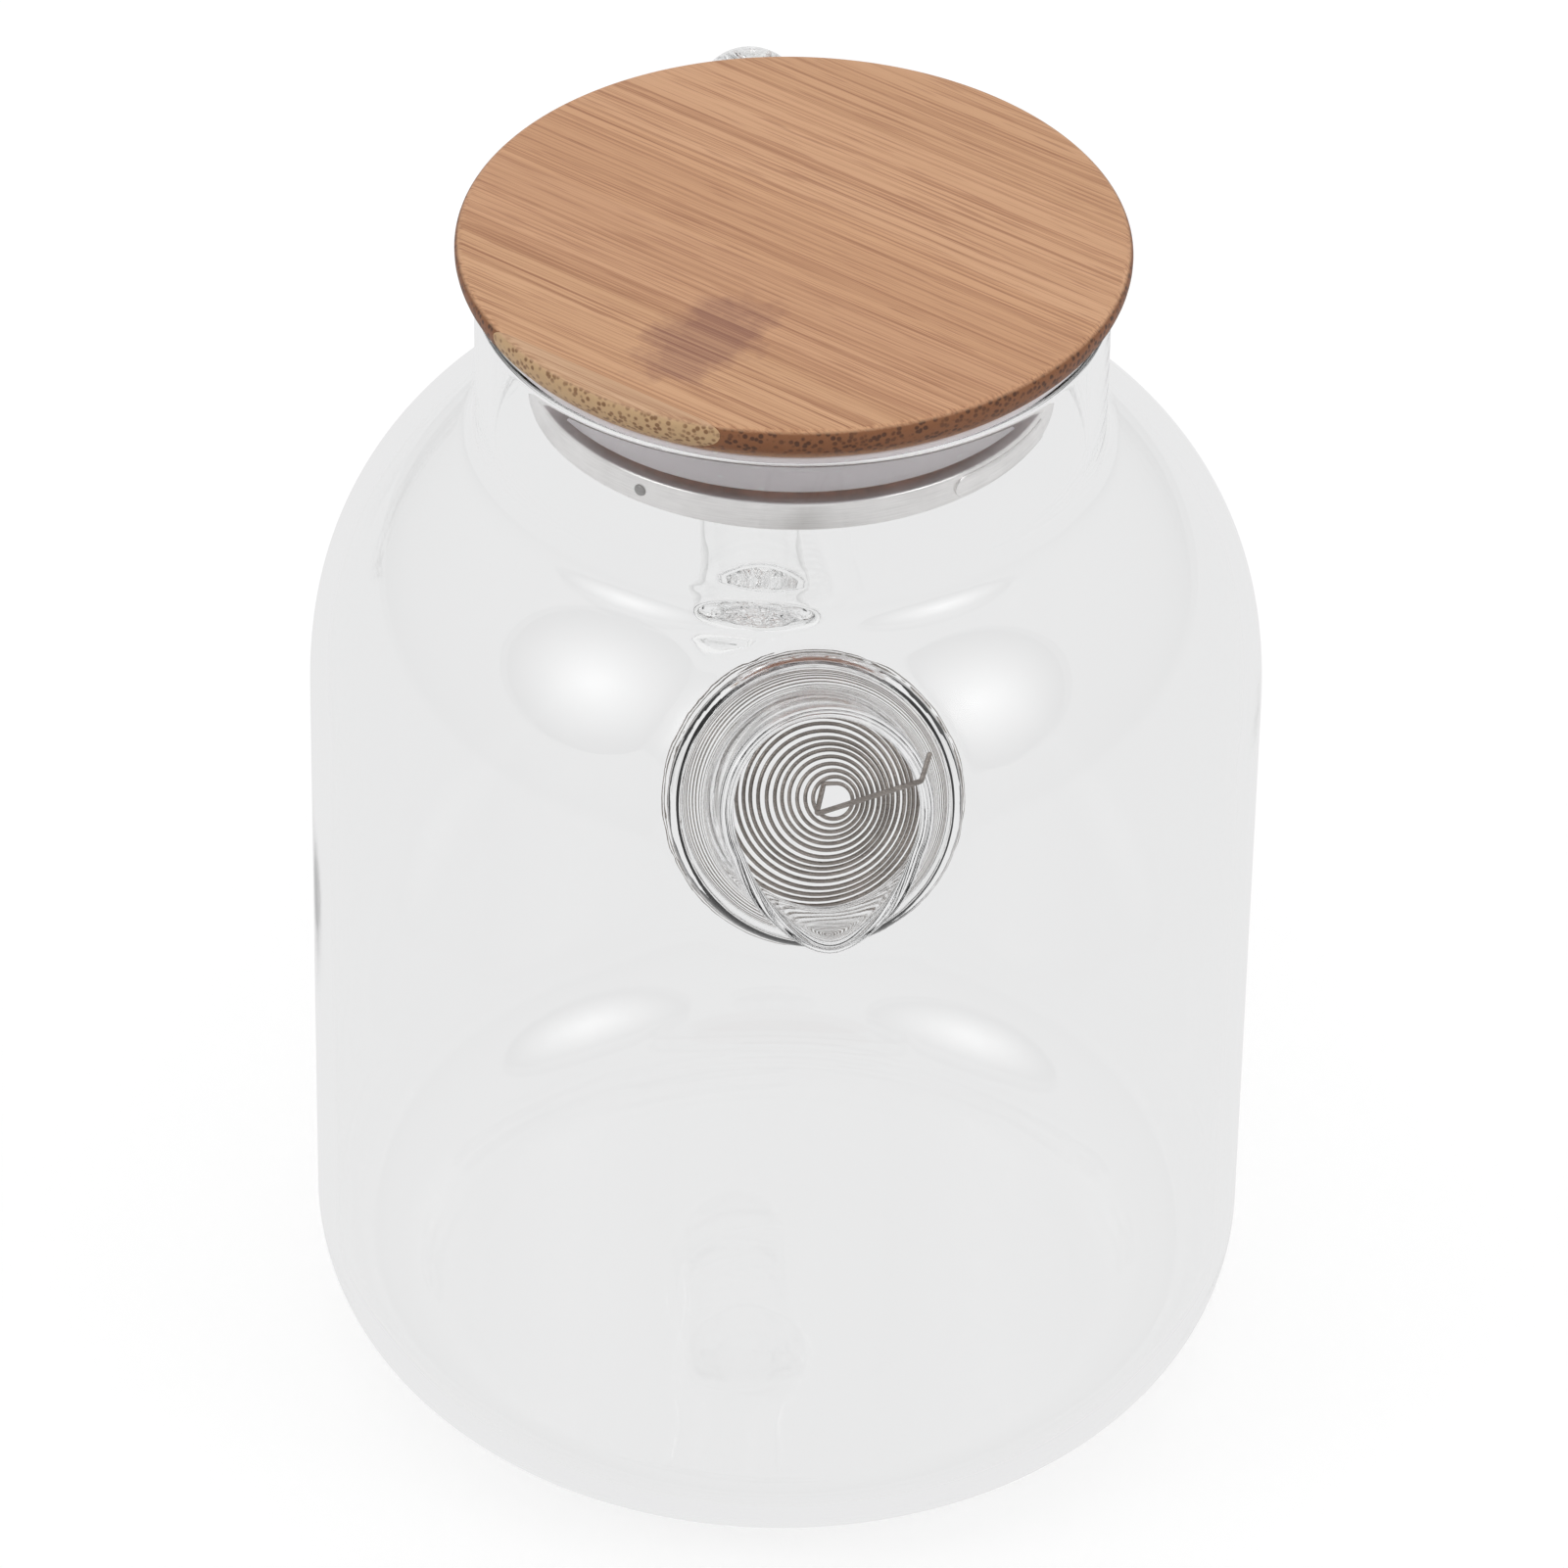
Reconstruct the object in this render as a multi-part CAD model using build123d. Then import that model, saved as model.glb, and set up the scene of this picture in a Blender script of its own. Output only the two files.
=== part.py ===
"""Glass detergent jug with a bamboo stopper lid, a flame-joined spout and handle, and a coiled strainer.

Millimetres, +Z up. The origin is the centre of the flat base; the spout points along -Y and the
handle stands along +Y. Each function makes one physical piece, and every piece is written to its
own STEP file in parts/.
"""

from build123d import *
import math
import os

# ---------------------------------------------------------------- jug body, blown glass
body_radius = 65.0          # outside of the straight wall
glass_wall = 2.5
base_thickness = 3.5
base_corner = 22.0          # outside radius between base and wall
straight_top_z = 108.0      # where the straight wall turns into the shoulder
dome_height = 51.2          # height the shoulder would reach on the axis
dome_power = 2.38           # squareness of the shoulder curve; 2 is an ellipse
neck_radius = 42.4          # outside of the neck
neck_height = 24.0          # from the shoulder crease to the rim
crease_round = 3.0          # soft corner between shoulder and neck
rim_round = 1.1
mould_ring_radius = 18.0    # faint ring under the base
mould_ring_width = 1.0
mould_ring_depth = 0.25

# ---------------------------------------------------------------- spout, drawn glass
spout_tilt = 34.0           # axis above the horizontal, degrees
spout_rise = 25.1           # where the axis crosses the shoulder, above the straight wall
spout_length = 25.0         # from the shoulder to the mouth, along the axis
spout_wall = 1.9
spout_root_radius = 19.3    # outside, at the weld
spout_waist_radius = 15.2   # outside, where the weld's flare ends
spout_waist_at = 9.0        # distance of that waist from the shoulder
spout_mouth_radius = 13.8   # outside
lip_reach = 18.4            # pouring lip's tip, from the axis
lip_half_angle = 62.0       # part of the rim that is drawn out into the lip, degrees each side
lip_start = 12.0            # distance from the shoulder where the lip begins
rings_back = 3              # the blank runs back through the wall by this many fifths of the length

# ---------------------------------------------------------------- handle, bent glass tube
handle_radius = 7.8         # outside of the tube
handle_wall = 2.4
grip_reach = 39.0           # from the body's wall to the grip's centre line
upper_arm_rise = 34.9       # the upper arm's bend, above the straight wall
upper_arm_slope = 12.0      # degrees, rising away from the body
grip_height = 70.4          # from the lower arm to the upper arm's bend
handle_bend = 18.0          # centre line radius of both bends
handle_bury = 12.0          # how far the tube blank runs into the body before trimming

# ---------------------------------------------------------------- strainer, coiled wire
wire_diameter = 0.5
coil_overhang = 0.8         # the widest turn's centre line, outside the edge of the hole it covers
coil_small_radius = 1.9
coil_turns = 19.33488       # the last one ends at the top
coil_start_angle = 103.0    # where the outer end stands, seen along the spout from +X, degrees
coil_wall_gap = 0.3         # between the widest turn and the wall that it rests against
coil_setback = 1.49556     # further in, so that the next turns clear the edge of the hole
coil_end_depth = 11.8       # narrowest turn, behind the mouth
coil_lean_side = 4.0        # the cone leans this many degrees towards +X
coil_lean_up = 2.0          # and this many up the spout's face
tail_bend = 0.4             # centre line radius of the wire's bends
tail_turn = (-0.9, -0.7)    # where the tail turns back, from the spout's axis: across, up
tail_turn_lift = 3.8        # that turn, in front of the coil's narrow end
tail_rim_lap = 0.2          # the elbow stands this far over the mouth's inner edge
tail_elbow_up = 3.7
tail_rim_gap = 0.85         # between the elbow and the mouth's rim
tail_tip = (1.2, 3.7, 0.1)  # the bent-up end, from the elbow: across, up, out

# ---------------------------------------------------------------- lid, bamboo
lid_overhang = 3.0          # the disc's widest edge, outside its underside
lid_thickness = 6.0
lid_top_round = 1.2
lid_edge_bulge = 0.8        # how far that edge stands out from a straight cone
grain_angle = -40.0         # direction of the staves, degrees from +X
edge_stave = 4.0            # width of the narrow stave at the front left
stave_widths = [17.7, 15.8, 15.7, 19.5]  # the next ones, across the grain; the last takes the rest
plug_clearance = 7.5        # radial, from the plug to the neck
plug_chamfer = 1.0

# ---------------------------------------------------------------- silicone seal
seal_flange = 1.0           # thickness of the flange between lid and rim
seal_flange_inset = 0.4     # the flange's edge, inside the neck's outer edge
seal_lip_gap = 0.35         # clearance between the seal's lip and the neck
seal_lip_height = 2.0
seal_skirt = 2.4            # thickness at the lower end
seal_depth = 9.9            # below the flange
seal_running_gap = 0.08     # radial, around the plug
seal_end_gap = 0.1          # below the lid

# ---------------------------------------------------------------- steel retaining ring and its pins
ring_stand_out = 2.9        # the ring's outside, from the plug
ring_height = 4.3
ring_sheet = 0.6
ring_gap = 0.6              # bare plug showing between seal and ring
ring_corner = 0.45
lap_angle = 33.0            # where the overlapping end of the band starts, degrees from the front
lap_sweep = 30.0
lap_thickness = 0.35
lap_margin = 0.6            # the lap is narrower than the band by this on each side
pin_count = 3
pin_first_angle = -37.0     # degrees from the front, seen from above
pin_radius = 0.45
pin_head_radius = 0.85
pin_head_height = 0.45
pin_depth = 4.0             # into the plug

# ---------------------------------------------------------------- places worked out from the sizes above

UPWARD = (Align.CENTER, Align.CENTER, Align.MIN)


def dome_radius(z, radius, height):
    """Radius of a shoulder curve at height z, for a wall of that radius and dome height."""
    share = max(0.0, min(1.0, (z - straight_top_z) / height))
    return radius * (1.0 - share**dome_power) ** (1.0 / dome_power)


def dome_z(r, radius, height):
    """Height at which a shoulder curve has radius r."""
    return straight_top_z + height * (1.0 - (r / radius) ** dome_power) ** (1.0 / dome_power)


neck_inner_radius = neck_radius - glass_wall
seal_flange_radius = neck_radius - seal_flange_inset
lid_bottom_radius = seal_flange_radius
lid_radius = lid_bottom_radius + lid_overhang
plug_radius = neck_inner_radius - plug_clearance
seal_skirt_radius = plug_radius + seal_skirt
ring_radius = plug_radius + ring_stand_out
spout_root_z = straight_top_z + spout_rise
grip_y = body_radius + grip_reach
upper_arm_z = straight_top_z + upper_arm_rise
lower_arm_z = upper_arm_z - grip_height
crease_z = dome_z(neck_radius, body_radius, dome_height)
rim_z = crease_z + neck_height
lid_bottom_z = rim_z + seal_flange + seal_end_gap
lid_top_z = lid_bottom_z + lid_thickness
seal_bottom_z = rim_z - seal_depth
ring_top_z = seal_bottom_z - ring_gap
ring_bottom_z = ring_top_z - ring_height
plug_bottom_z = ring_bottom_z + ring_sheet
tilt = math.radians(spout_tilt)
spout_out = Vector(0, -math.cos(tilt), math.sin(tilt))
spout_root = Vector(0, -dome_radius(spout_root_z, body_radius, dome_height), spout_root_z)


def spout_plane(distance):
    """Plane square to the spout, that far out from the shoulder; its y axis points up the spout's face."""
    return Plane(origin=spout_root + spout_out * distance, x_dir=(1, 0, 0), z_dir=spout_out)


# ---------------------------------------------------------------- jug body


def dome_curve(radius, height, end_radius, points=9):
    """Shoulder curve from the straight wall up to end_radius, evenly spaced in angle."""
    last = math.acos((end_radius / radius) ** (dome_power / 2))
    curve = []
    for i in range(points):
        angle = last * i / (points - 1)
        r = radius * math.cos(angle) ** (2 / dome_power)
        z = straight_top_z + height * math.sin(angle) ** (2 / dome_power)
        curve.append((r, z))
    return curve


def turned_jug(radius, floor_z, corner, height, throat, top_z):
    """Solid of the jug's outside or of its cavity: base, corner, straight wall, shoulder and neck."""
    dome = dome_curve(radius, height, throat)
    arc_middle = corner * math.sqrt(0.5)
    corner_z = floor_z + corner
    with BuildSketch(Plane.XZ) as half:
        with BuildLine():
            Line((0, floor_z), (radius - corner, floor_z))
            ThreePointArc(
                (radius - corner, floor_z),
                (radius - corner + arc_middle, corner_z - arc_middle),
                (radius, corner_z),
            )
            Line((radius, corner_z), (radius, straight_top_z))
            Spline(*dome)
            Line(dome[-1], (throat, top_z))
            Line((throat, top_z), (0, top_z))
            Line((0, top_z), (0, floor_z))
        make_face()
    return revolve(half.sketch, Axis.Z, 360)


def jug_outside():
    """Everything inside the jug's outer surface, as one solid."""
    return turned_jug(body_radius, 0, base_corner, dome_height, neck_radius, rim_z)


def jug_cavity():
    """The space that the jug holds, run a little past the rim."""
    inner_corner = base_corner - glass_wall - 1.0
    return turned_jug(
        body_radius - glass_wall,
        base_thickness,
        inner_corner,
        dome_height - glass_wall,
        neck_inner_radius,
        rim_z + 1.0,
    )


def edges_at(shape, radius, z, reach=0.6):
    """Round edges of shape whose radius and height are near these."""
    return [
        e
        for e in shape.edges().filter_by(GeomType.CIRCLE)
        if abs(e.radius - radius) < reach and abs(e.center().Z - z) < reach
    ]


def glass_body():
    """Blown jug with its neck, and the hole that the spout opens into."""
    jug = jug_outside() - jug_cavity()
    inner_crease_z = dome_z(neck_inner_radius, body_radius - glass_wall, dome_height - glass_wall)
    jug = fillet(edges_at(jug, neck_radius, crease_z), crease_round)
    jug = fillet(edges_at(jug, neck_inner_radius, inner_crease_z), crease_round + glass_wall)
    rim = edges_at(jug, neck_radius, rim_z) + edges_at(jug, neck_inner_radius, rim_z)
    jug = fillet(rim, rim_round)
    ring = Cylinder(mould_ring_radius + mould_ring_width / 2, 2 * mould_ring_depth)
    ring -= Cylinder(mould_ring_radius - mould_ring_width / 2, 2 * mould_ring_depth)
    return jug - ring - spout_blank(spout_wall)


# ---------------------------------------------------------------- spout


def spout_radius(distance, angle, inset):
    """Radius of the spout at a distance from the shoulder; angle 0 is the pouring lip's direction."""
    if distance < spout_waist_at:
        share = min(1.0, 1 - distance / spout_waist_at)
        plain = spout_waist_radius + (spout_root_radius - spout_waist_radius) * share**2
    else:
        share = (distance - spout_waist_at) / (spout_length - spout_waist_at)
        plain = spout_waist_radius + (spout_mouth_radius - spout_waist_radius) * share
    drawn = max(0.0, (distance - lip_start) / (spout_length - lip_start)) ** 1.6
    around = max(0.0, 1 - abs(angle) / lip_half_angle)
    return plain - inset + (lip_reach - spout_mouth_radius) * drawn * around**1.5


def spout_ring(distance, inset, points=28):
    """Closed curve around the spout at a distance from the shoulder."""
    plane = spout_plane(distance)
    ring = []
    for i in range(points):
        angle = 360 * i / points - 180
        r = spout_radius(distance, angle, inset)
        turn = math.radians(angle)
        ring.append(plane.from_local_coords(Vector(r * math.sin(turn), -r * math.cos(turn), 0)))
    even = [i / points for i in range(points + 1)]
    return Edge.make_spline(ring, periodic=True, parameters=even)


def spout_blank(inset):
    """Filled spout, from behind the wall to the mouth; inset makes the bore instead of the outside."""
    step = spout_length / 5
    rings_out = 6 if inset else 5
    rings = [make_face(spout_ring(step * i, inset)) for i in range(-rings_back, rings_out + 1)]
    return loft(rings)


def glass_spout():
    """Short flared spout with a pouring lip, trimmed to the shoulder it is fused to."""
    return spout_blank(0) - spout_blank(spout_wall) - jug_outside()


# ---------------------------------------------------------------- handle


def handle_line(bury):
    """Centre line of the handle, from inside the shoulder to inside the wall."""
    slope = math.radians(upper_arm_slope)
    arm_end = Vector(0, grip_y - handle_bend, upper_arm_z)
    corner_y = grip_y
    corner_z = arm_end.Z + (corner_y - arm_end.Y) * math.tan(slope)
    shoulder_y = dome_radius(upper_arm_z, body_radius, dome_height) - bury
    shoulder_z = corner_z - (corner_y - shoulder_y) * math.tan(slope)
    points = [
        (0, shoulder_y, shoulder_z),
        (0, corner_y, corner_z),
        (0, grip_y, lower_arm_z),
        (0, body_radius - bury, lower_arm_z),
    ]
    return FilletPolyline(*points, radius=handle_bend)


def tube_along(line, radius):
    """Round bar of that radius along a line."""
    start = Plane(origin=line @ 0, z_dir=line % 0)
    return sweep(start * Circle(radius), path=line)


def glass_handle():
    """Hollow handle, trimmed to the shoulder and wall it is fused to."""
    line = handle_line(handle_bury)
    tube = tube_along(line, handle_radius) - tube_along(line, handle_radius - handle_wall)
    return tube - jug_outside()


# ---------------------------------------------------------------- strainer


def coil_depth(radius):
    """How far the widest turn stands behind the shoulder, so that it rests on the wall inside."""
    lean = tilt + math.radians(coil_lean_up)
    depth = 0.0
    for _ in range(20):
        room = []
        for angle in range(0, 360, 10):
            across = radius * math.cos(math.radians(angle))
            up = radius * math.sin(math.radians(angle))
            y = spout_root.Y + depth * math.cos(tilt) + up * math.sin(lean)
            z = spout_root.Z - depth * math.sin(tilt) + up * math.cos(lean)
            wall = dome_radius(z, body_radius - glass_wall, dome_height - glass_wall)
            room.append(wall - math.hypot(across, y))
        depth += wire_diameter / 2 + coil_wall_gap - min(room)
    return depth


def spout_strainer():
    """Conical wire coil that narrows out into the spout, with a straight tail hooked over the rim."""
    coil_large_radius = spout_root_radius - spout_wall + coil_overhang
    coil_back = coil_depth(coil_large_radius) + coil_setback
    coil_end = spout_length - coil_end_depth
    coil_length = coil_end + coil_back
    cone = math.degrees(math.atan((coil_large_radius - coil_small_radius) / coil_length))
    spiral = Helix(
        pitch=coil_length / coil_turns,
        height=coil_length,
        radius=coil_large_radius,
        cone_angle=-cone,
    )
    lean = Rot(-coil_lean_up, coil_lean_side, 0) * Rot(0, 0, coil_start_angle)
    spiral = Pos(0, 0, -coil_back) * lean * spiral
    coil = wire_along(spiral, is_frenet=True)
    inner_end = spiral @ 1
    turn = Vector(*tail_turn, coil_end + tail_turn_lift)
    elbow_across = spout_mouth_radius - spout_wall + tail_rim_lap
    elbow = Vector(elbow_across, tail_elbow_up, spout_length + wire_diameter / 2 + tail_rim_gap)
    tip = elbow + Vector(*tail_tip)
    start = inner_end + (spiral % 1) * 1.5
    tail = FilletPolyline(inner_end, start, turn, elbow, tip, radius=tail_bend)
    return spout_plane(0).location * (coil + wire_along(tail))


def wire_along(line, is_frenet=False):
    """Round wire along a line."""
    section = Plane(origin=line @ 0, z_dir=line % 0) * Circle(wire_diameter / 2)
    return sweep(section, path=line, is_frenet=is_frenet)


# ---------------------------------------------------------------- lid


def lid_blank():
    """Whole bamboo disc: flat top, soft upper edge, and a rim that draws in underneath."""
    shoulder_z = lid_top_z - lid_top_round
    middle = (
        (lid_radius + lid_bottom_radius) / 2 + lid_edge_bulge,
        (shoulder_z + lid_bottom_z) / 2,
    )
    with BuildSketch(Plane.XZ) as half:
        with BuildLine():
            Line((0, lid_bottom_z), (lid_bottom_radius, lid_bottom_z))
            ThreePointArc((lid_bottom_radius, lid_bottom_z), middle, (lid_radius, shoulder_z))
            RadiusArc((lid_radius, shoulder_z), (lid_radius - lid_top_round, lid_top_z), -lid_top_round)
            Line((lid_radius - lid_top_round, lid_top_z), (0, lid_top_z))
            Line((0, lid_top_z), (0, lid_bottom_z))
        make_face()
    return revolve(half.sketch, Axis.Z, 360)


def lid_staves():
    """The disc as its glued staves, in order across the grain."""
    disc = lid_blank()
    joints = [edge_stave - lid_radius]
    for width in stave_widths:
        joints.append(joints[-1] + width)
    limits = [-lid_radius - 1] + joints + [lid_radius + 1]
    middle_z = (lid_bottom_z + lid_top_z) / 2
    staves = []
    for low, high in zip(limits, limits[1:]):
        slab = Box(4 * lid_radius, high - low, 2 * lid_thickness)
        slab = Pos(0, (low + high) / 2, middle_z) * slab
        staves.append(disc & (Rot(0, 0, grain_angle) * slab))
    return staves


def lid_plug():
    """Turned bamboo plug under the disc, which carries the seal and the ring."""
    height = lid_bottom_z - plug_bottom_z
    plug = Pos(0, 0, plug_bottom_z) * Cylinder(plug_radius, height, align=UPWARD)
    lower = plug.edges().filter_by(GeomType.CIRCLE).sort_by(Axis.Z)[0]
    plug = chamfer(lower, plug_chamfer)
    for pin in pin_blanks(pin_radius, pin_radius):
        plug -= pin
    return plug


# ---------------------------------------------------------------- seal


def silicone_seal():
    """Flanged sleeve around the plug: a flange under the lid, a lip in the neck and a tapered skirt."""
    bore = plug_radius + seal_running_gap
    flange_bottom_z = rim_z
    lip_radius = neck_inner_radius - seal_lip_gap
    lip_top_z = flange_bottom_z - rim_round - 0.4
    with BuildSketch(Plane.XZ) as half:
        with BuildLine():
            Polyline(
                (bore, seal_bottom_z),
                (seal_skirt_radius, seal_bottom_z),
                (lip_radius - 1.6, lip_top_z - seal_lip_height),
                (lip_radius, lip_top_z - seal_lip_height / 2),
                (lip_radius, lip_top_z),
                (lip_radius - 0.8, flange_bottom_z),
                (seal_flange_radius, flange_bottom_z),
                (seal_flange_radius, flange_bottom_z + seal_flange),
                (bore, flange_bottom_z + seal_flange),
                close=True,
            )
        make_face()
    return revolve(half.sketch, Axis.Z, 360)


# ---------------------------------------------------------------- ring and pins


def turned(points):
    """Ring turned about the jug's axis from a closed outline of (radius, z) points."""
    with BuildSketch(Plane.XZ) as half:
        with BuildLine():
            Polyline(*points, close=True)
        make_face()
    return revolve(half.sketch, Axis.Z, 360)


def retaining_ring():
    """Rolled steel band with a turned-in top edge, a cupped floor and a lapped end."""
    inner = ring_radius - ring_sheet
    cup = turned(
        [
            (plug_radius - plug_chamfer - 2, ring_bottom_z),
            (ring_radius, ring_bottom_z),
            (ring_radius, ring_top_z),
            (plug_radius, ring_top_z),
            (plug_radius, ring_top_z - ring_sheet),
            (inner, ring_top_z - ring_sheet),
            (inner, ring_bottom_z + ring_sheet),
            (plug_radius - plug_chamfer - 2, ring_bottom_z + ring_sheet),
        ]
    )
    cup = fillet(edges_at(cup, ring_radius, ring_top_z, 0.2), ring_corner)
    cup = fillet(edges_at(cup, ring_radius, ring_bottom_z, 0.2), ring_corner)
    for pin in pin_blanks(pin_radius, pin_radius):
        cup -= pin
    lap = turned(
        [
            (ring_radius - ring_sheet / 2, ring_bottom_z + lap_margin),
            (ring_radius + lap_thickness, ring_bottom_z + lap_margin),
            (ring_radius + lap_thickness, ring_top_z - lap_margin),
            (ring_radius - ring_sheet / 2, ring_top_z - lap_margin),
        ]
    )
    wedge = Cylinder(2 * ring_radius, ring_height, arc_size=lap_sweep, align=UPWARD)
    return cup + (lap & Pos(0, 0, ring_bottom_z) * Rot(0, 0, lap_angle - 90) * wedge)


def pin_angles():
    """Angles of the pins about the axis, from +X."""
    return [pin_first_angle - 90 + 360 * i / pin_count for i in range(pin_count)]


def pin_blanks(shank, head):
    """Round-headed pins through the band into the plug, each a separate solid."""
    middle_z = (ring_top_z + ring_bottom_z) / 2
    shank_length = ring_radius - plug_radius + pin_depth
    pins = []
    for angle in pin_angles():
        shaft = Cylinder(shank, shank_length, align=UPWARD)
        button = Pos(0, 0, shank_length) * Cylinder(head, pin_head_height, align=UPWARD)
        outward = Pos(plug_radius - pin_depth, 0, 0) * Rot(0, 90, 0)
        pins.append(Pos(0, 0, middle_z) * Rot(0, 0, angle) * outward * (shaft + button))
    return pins


# ---------------------------------------------------------------- writing the files


def write(name, shape):
    """Writes one node's solids to parts/."""
    export_step(shape, f"parts/{name}.step")


def main():
    """Builds and writes every piece."""
    os.makedirs("parts", exist_ok=True)
    write("glass_body", glass_body())
    write("glass_spout", glass_spout())
    write("glass_handle", glass_handle())
    for number, stave in enumerate(lid_staves(), start=1):
        write(f"lid_stave_{number}", stave)
    write("lid_plug", lid_plug())
    write("silicone_seal", silicone_seal())
    write("retaining_ring", retaining_ring())
    write("ring_pins", Compound(pin_blanks(pin_radius, pin_head_radius)))
    write("spout_strainer", spout_strainer())


main()
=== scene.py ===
"""Glass detergent jug with a bamboo stopper lid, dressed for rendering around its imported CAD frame."""

import logging
import math
from dataclasses import dataclass
from enum import Enum
from typing import Iterable, Sequence

import bmesh
import bpy
import numpy as np
from mathutils import Matrix, Vector


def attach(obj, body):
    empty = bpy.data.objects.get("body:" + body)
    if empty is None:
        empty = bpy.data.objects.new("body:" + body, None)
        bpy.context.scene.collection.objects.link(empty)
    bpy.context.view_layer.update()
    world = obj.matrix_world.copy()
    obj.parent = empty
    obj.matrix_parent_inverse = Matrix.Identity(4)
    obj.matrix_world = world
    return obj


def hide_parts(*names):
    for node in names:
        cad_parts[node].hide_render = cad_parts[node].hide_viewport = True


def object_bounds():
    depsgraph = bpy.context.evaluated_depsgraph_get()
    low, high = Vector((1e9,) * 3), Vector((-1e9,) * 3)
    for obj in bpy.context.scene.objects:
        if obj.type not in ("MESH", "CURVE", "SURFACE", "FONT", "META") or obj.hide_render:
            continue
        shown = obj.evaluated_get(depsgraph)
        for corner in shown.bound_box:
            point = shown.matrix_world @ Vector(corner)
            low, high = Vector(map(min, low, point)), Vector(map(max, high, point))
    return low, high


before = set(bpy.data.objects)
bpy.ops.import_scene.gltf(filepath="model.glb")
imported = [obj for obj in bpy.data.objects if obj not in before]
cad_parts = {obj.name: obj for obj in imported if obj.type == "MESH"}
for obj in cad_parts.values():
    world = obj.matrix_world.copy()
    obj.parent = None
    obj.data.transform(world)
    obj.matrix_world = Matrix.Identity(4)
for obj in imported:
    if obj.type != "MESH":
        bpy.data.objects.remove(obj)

CAD_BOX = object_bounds()
MM = 0.001
log = logging.getLogger("jug")

Point2 = tuple[float, float]
Point3 = tuple[float, float, float]
Color = tuple[float, float, float]
Piece = bpy.types.Object
Material = bpy.types.Material
Tree = bpy.types.NodeTree
Socket = bpy.types.NodeSocket


class Body(str, Enum):
    """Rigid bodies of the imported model."""

    JAR = "jar"
    SEAL = "seal"
    LID = "lid"


class Slot(str, Enum):
    """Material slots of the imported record."""

    GLASS = "clear_glass"
    BAMBOO = "bamboo"
    BAMBOO_EDGE = "bamboo_edge"
    BAMBOO_PLUG = "bamboo_plug"
    SILICONE = "silicone"
    BAND = "steel_band"
    PIN = "steel_pin"
    WIRE = "steel_wire"


# ---------------------------------------------------------------- mesh helpers


def soften(points: Sequence[Point2], corners: dict[int, float], steps: int = 8) -> list[Point2]:
    """Rounds chosen corners of a polyline.

    Args:
        points: The polyline, as (radius, z) pairs in millimetres.
        corners: Corner index to how far along each side its rounding reaches.
        steps: Pieces in each rounding.

    Returns:
        The polyline with a smooth curve in place of each chosen corner.
    """
    line = np.array(points, float)
    along = np.concatenate([[0], np.cumsum(np.linalg.norm(np.diff(line, axis=0), axis=1))])

    def at(s: float) -> np.ndarray:
        return np.array([np.interp(s, along, line[:, 0]), np.interp(s, along, line[:, 1])])

    kept = [(s, tuple(p)) for s, p in zip(along, line)]
    for index, reach in corners.items():
        here = along[index]
        kept = [(s, p) for s, p in kept if abs(s - here) > reach]
        start, corner, end = at(here - reach), line[index], at(here + reach)
        for i in range(steps + 1):
            t = i / steps
            p = (1 - t) ** 2 * start + 2 * t * (1 - t) * corner + t * t * end
            kept.append((here - reach + 2 * reach * t, tuple(p)))
    return [p for _, p in sorted(kept, key=lambda item: item[0])]


def arc(centre: Point2, radius: float, start: float, end: float, steps: int = 12) -> list[Point2]:
    """Points of an arc, from one angle to another, in degrees."""
    angles = np.radians(np.linspace(start, end, steps + 1))
    return [(centre[0] + radius * math.cos(a), centre[1] + radius * math.sin(a)) for a in angles]


def mesh_object(name: str, verts: Iterable, faces: Iterable, smooth: bool = True) -> Piece:
    """Makes an object from vertices in millimetres.

    Args:
        name: Object name.
        verts: Vertex positions.
        faces: Tuples of vertex indices.
        smooth: Whether its faces are shaded smooth.

    Returns:
        The new object, linked to the scene.
    """
    mesh = bpy.data.meshes.new(name)
    mesh.from_pydata([tuple(float(c) * MM for c in v) for v in verts], [], [tuple(f) for f in faces])
    mesh.validate()
    if smooth:
        mesh.shade_smooth()
    piece = bpy.data.objects.new(name, mesh)
    bpy.context.scene.collection.objects.link(piece)
    return piece


def face_outwards(piece: Piece) -> None:
    """Turns every face normal of a closed mesh outwards."""
    mesh = bmesh.new()
    mesh.from_mesh(piece.data)
    bmesh.ops.recalc_face_normals(mesh, faces=mesh.faces)
    mesh.to_mesh(piece.data)
    mesh.free()


def lathe(name: str, profile: Sequence[Point2], segments: int = 192, ring: bool = False) -> Piece:
    """Turns a profile about the Z axis.

    Args:
        name: Object name.
        profile: (radius, z) points; the ends lie on the axis unless it is a ring's.
        segments: Facets around the axis.
        ring: Whether the profile closes on itself.

    Returns:
        A closed mesh object.
    """
    verts: list[tuple[float, float, float]] = []
    rows: list[list[int]] = []
    for r, z in profile:
        if r < 1e-6:
            rows.append([len(verts)] * segments)
            verts.append((0, 0, z))
        else:
            rows.append(list(range(len(verts), len(verts) + segments)))
            turn = np.linspace(0, 2 * math.pi, segments, endpoint=False)
            verts.extend((r * math.cos(a), r * math.sin(a), z) for a in turn)
    pairs = list(zip(rows, rows[1:])) + ([(rows[-1], rows[0])] if ring else [])
    faces = []
    for low, high in pairs:
        for i in range(segments):
            j = (i + 1) % segments
            quad = [low[i], low[j], high[j], high[i]]
            face = [v for k, v in enumerate(quad) if v != quad[k - 1]]
            if len(face) > 2:
                faces.append(face)
    piece = mesh_object(name, verts, faces)
    face_outwards(piece)
    return piece


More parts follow.
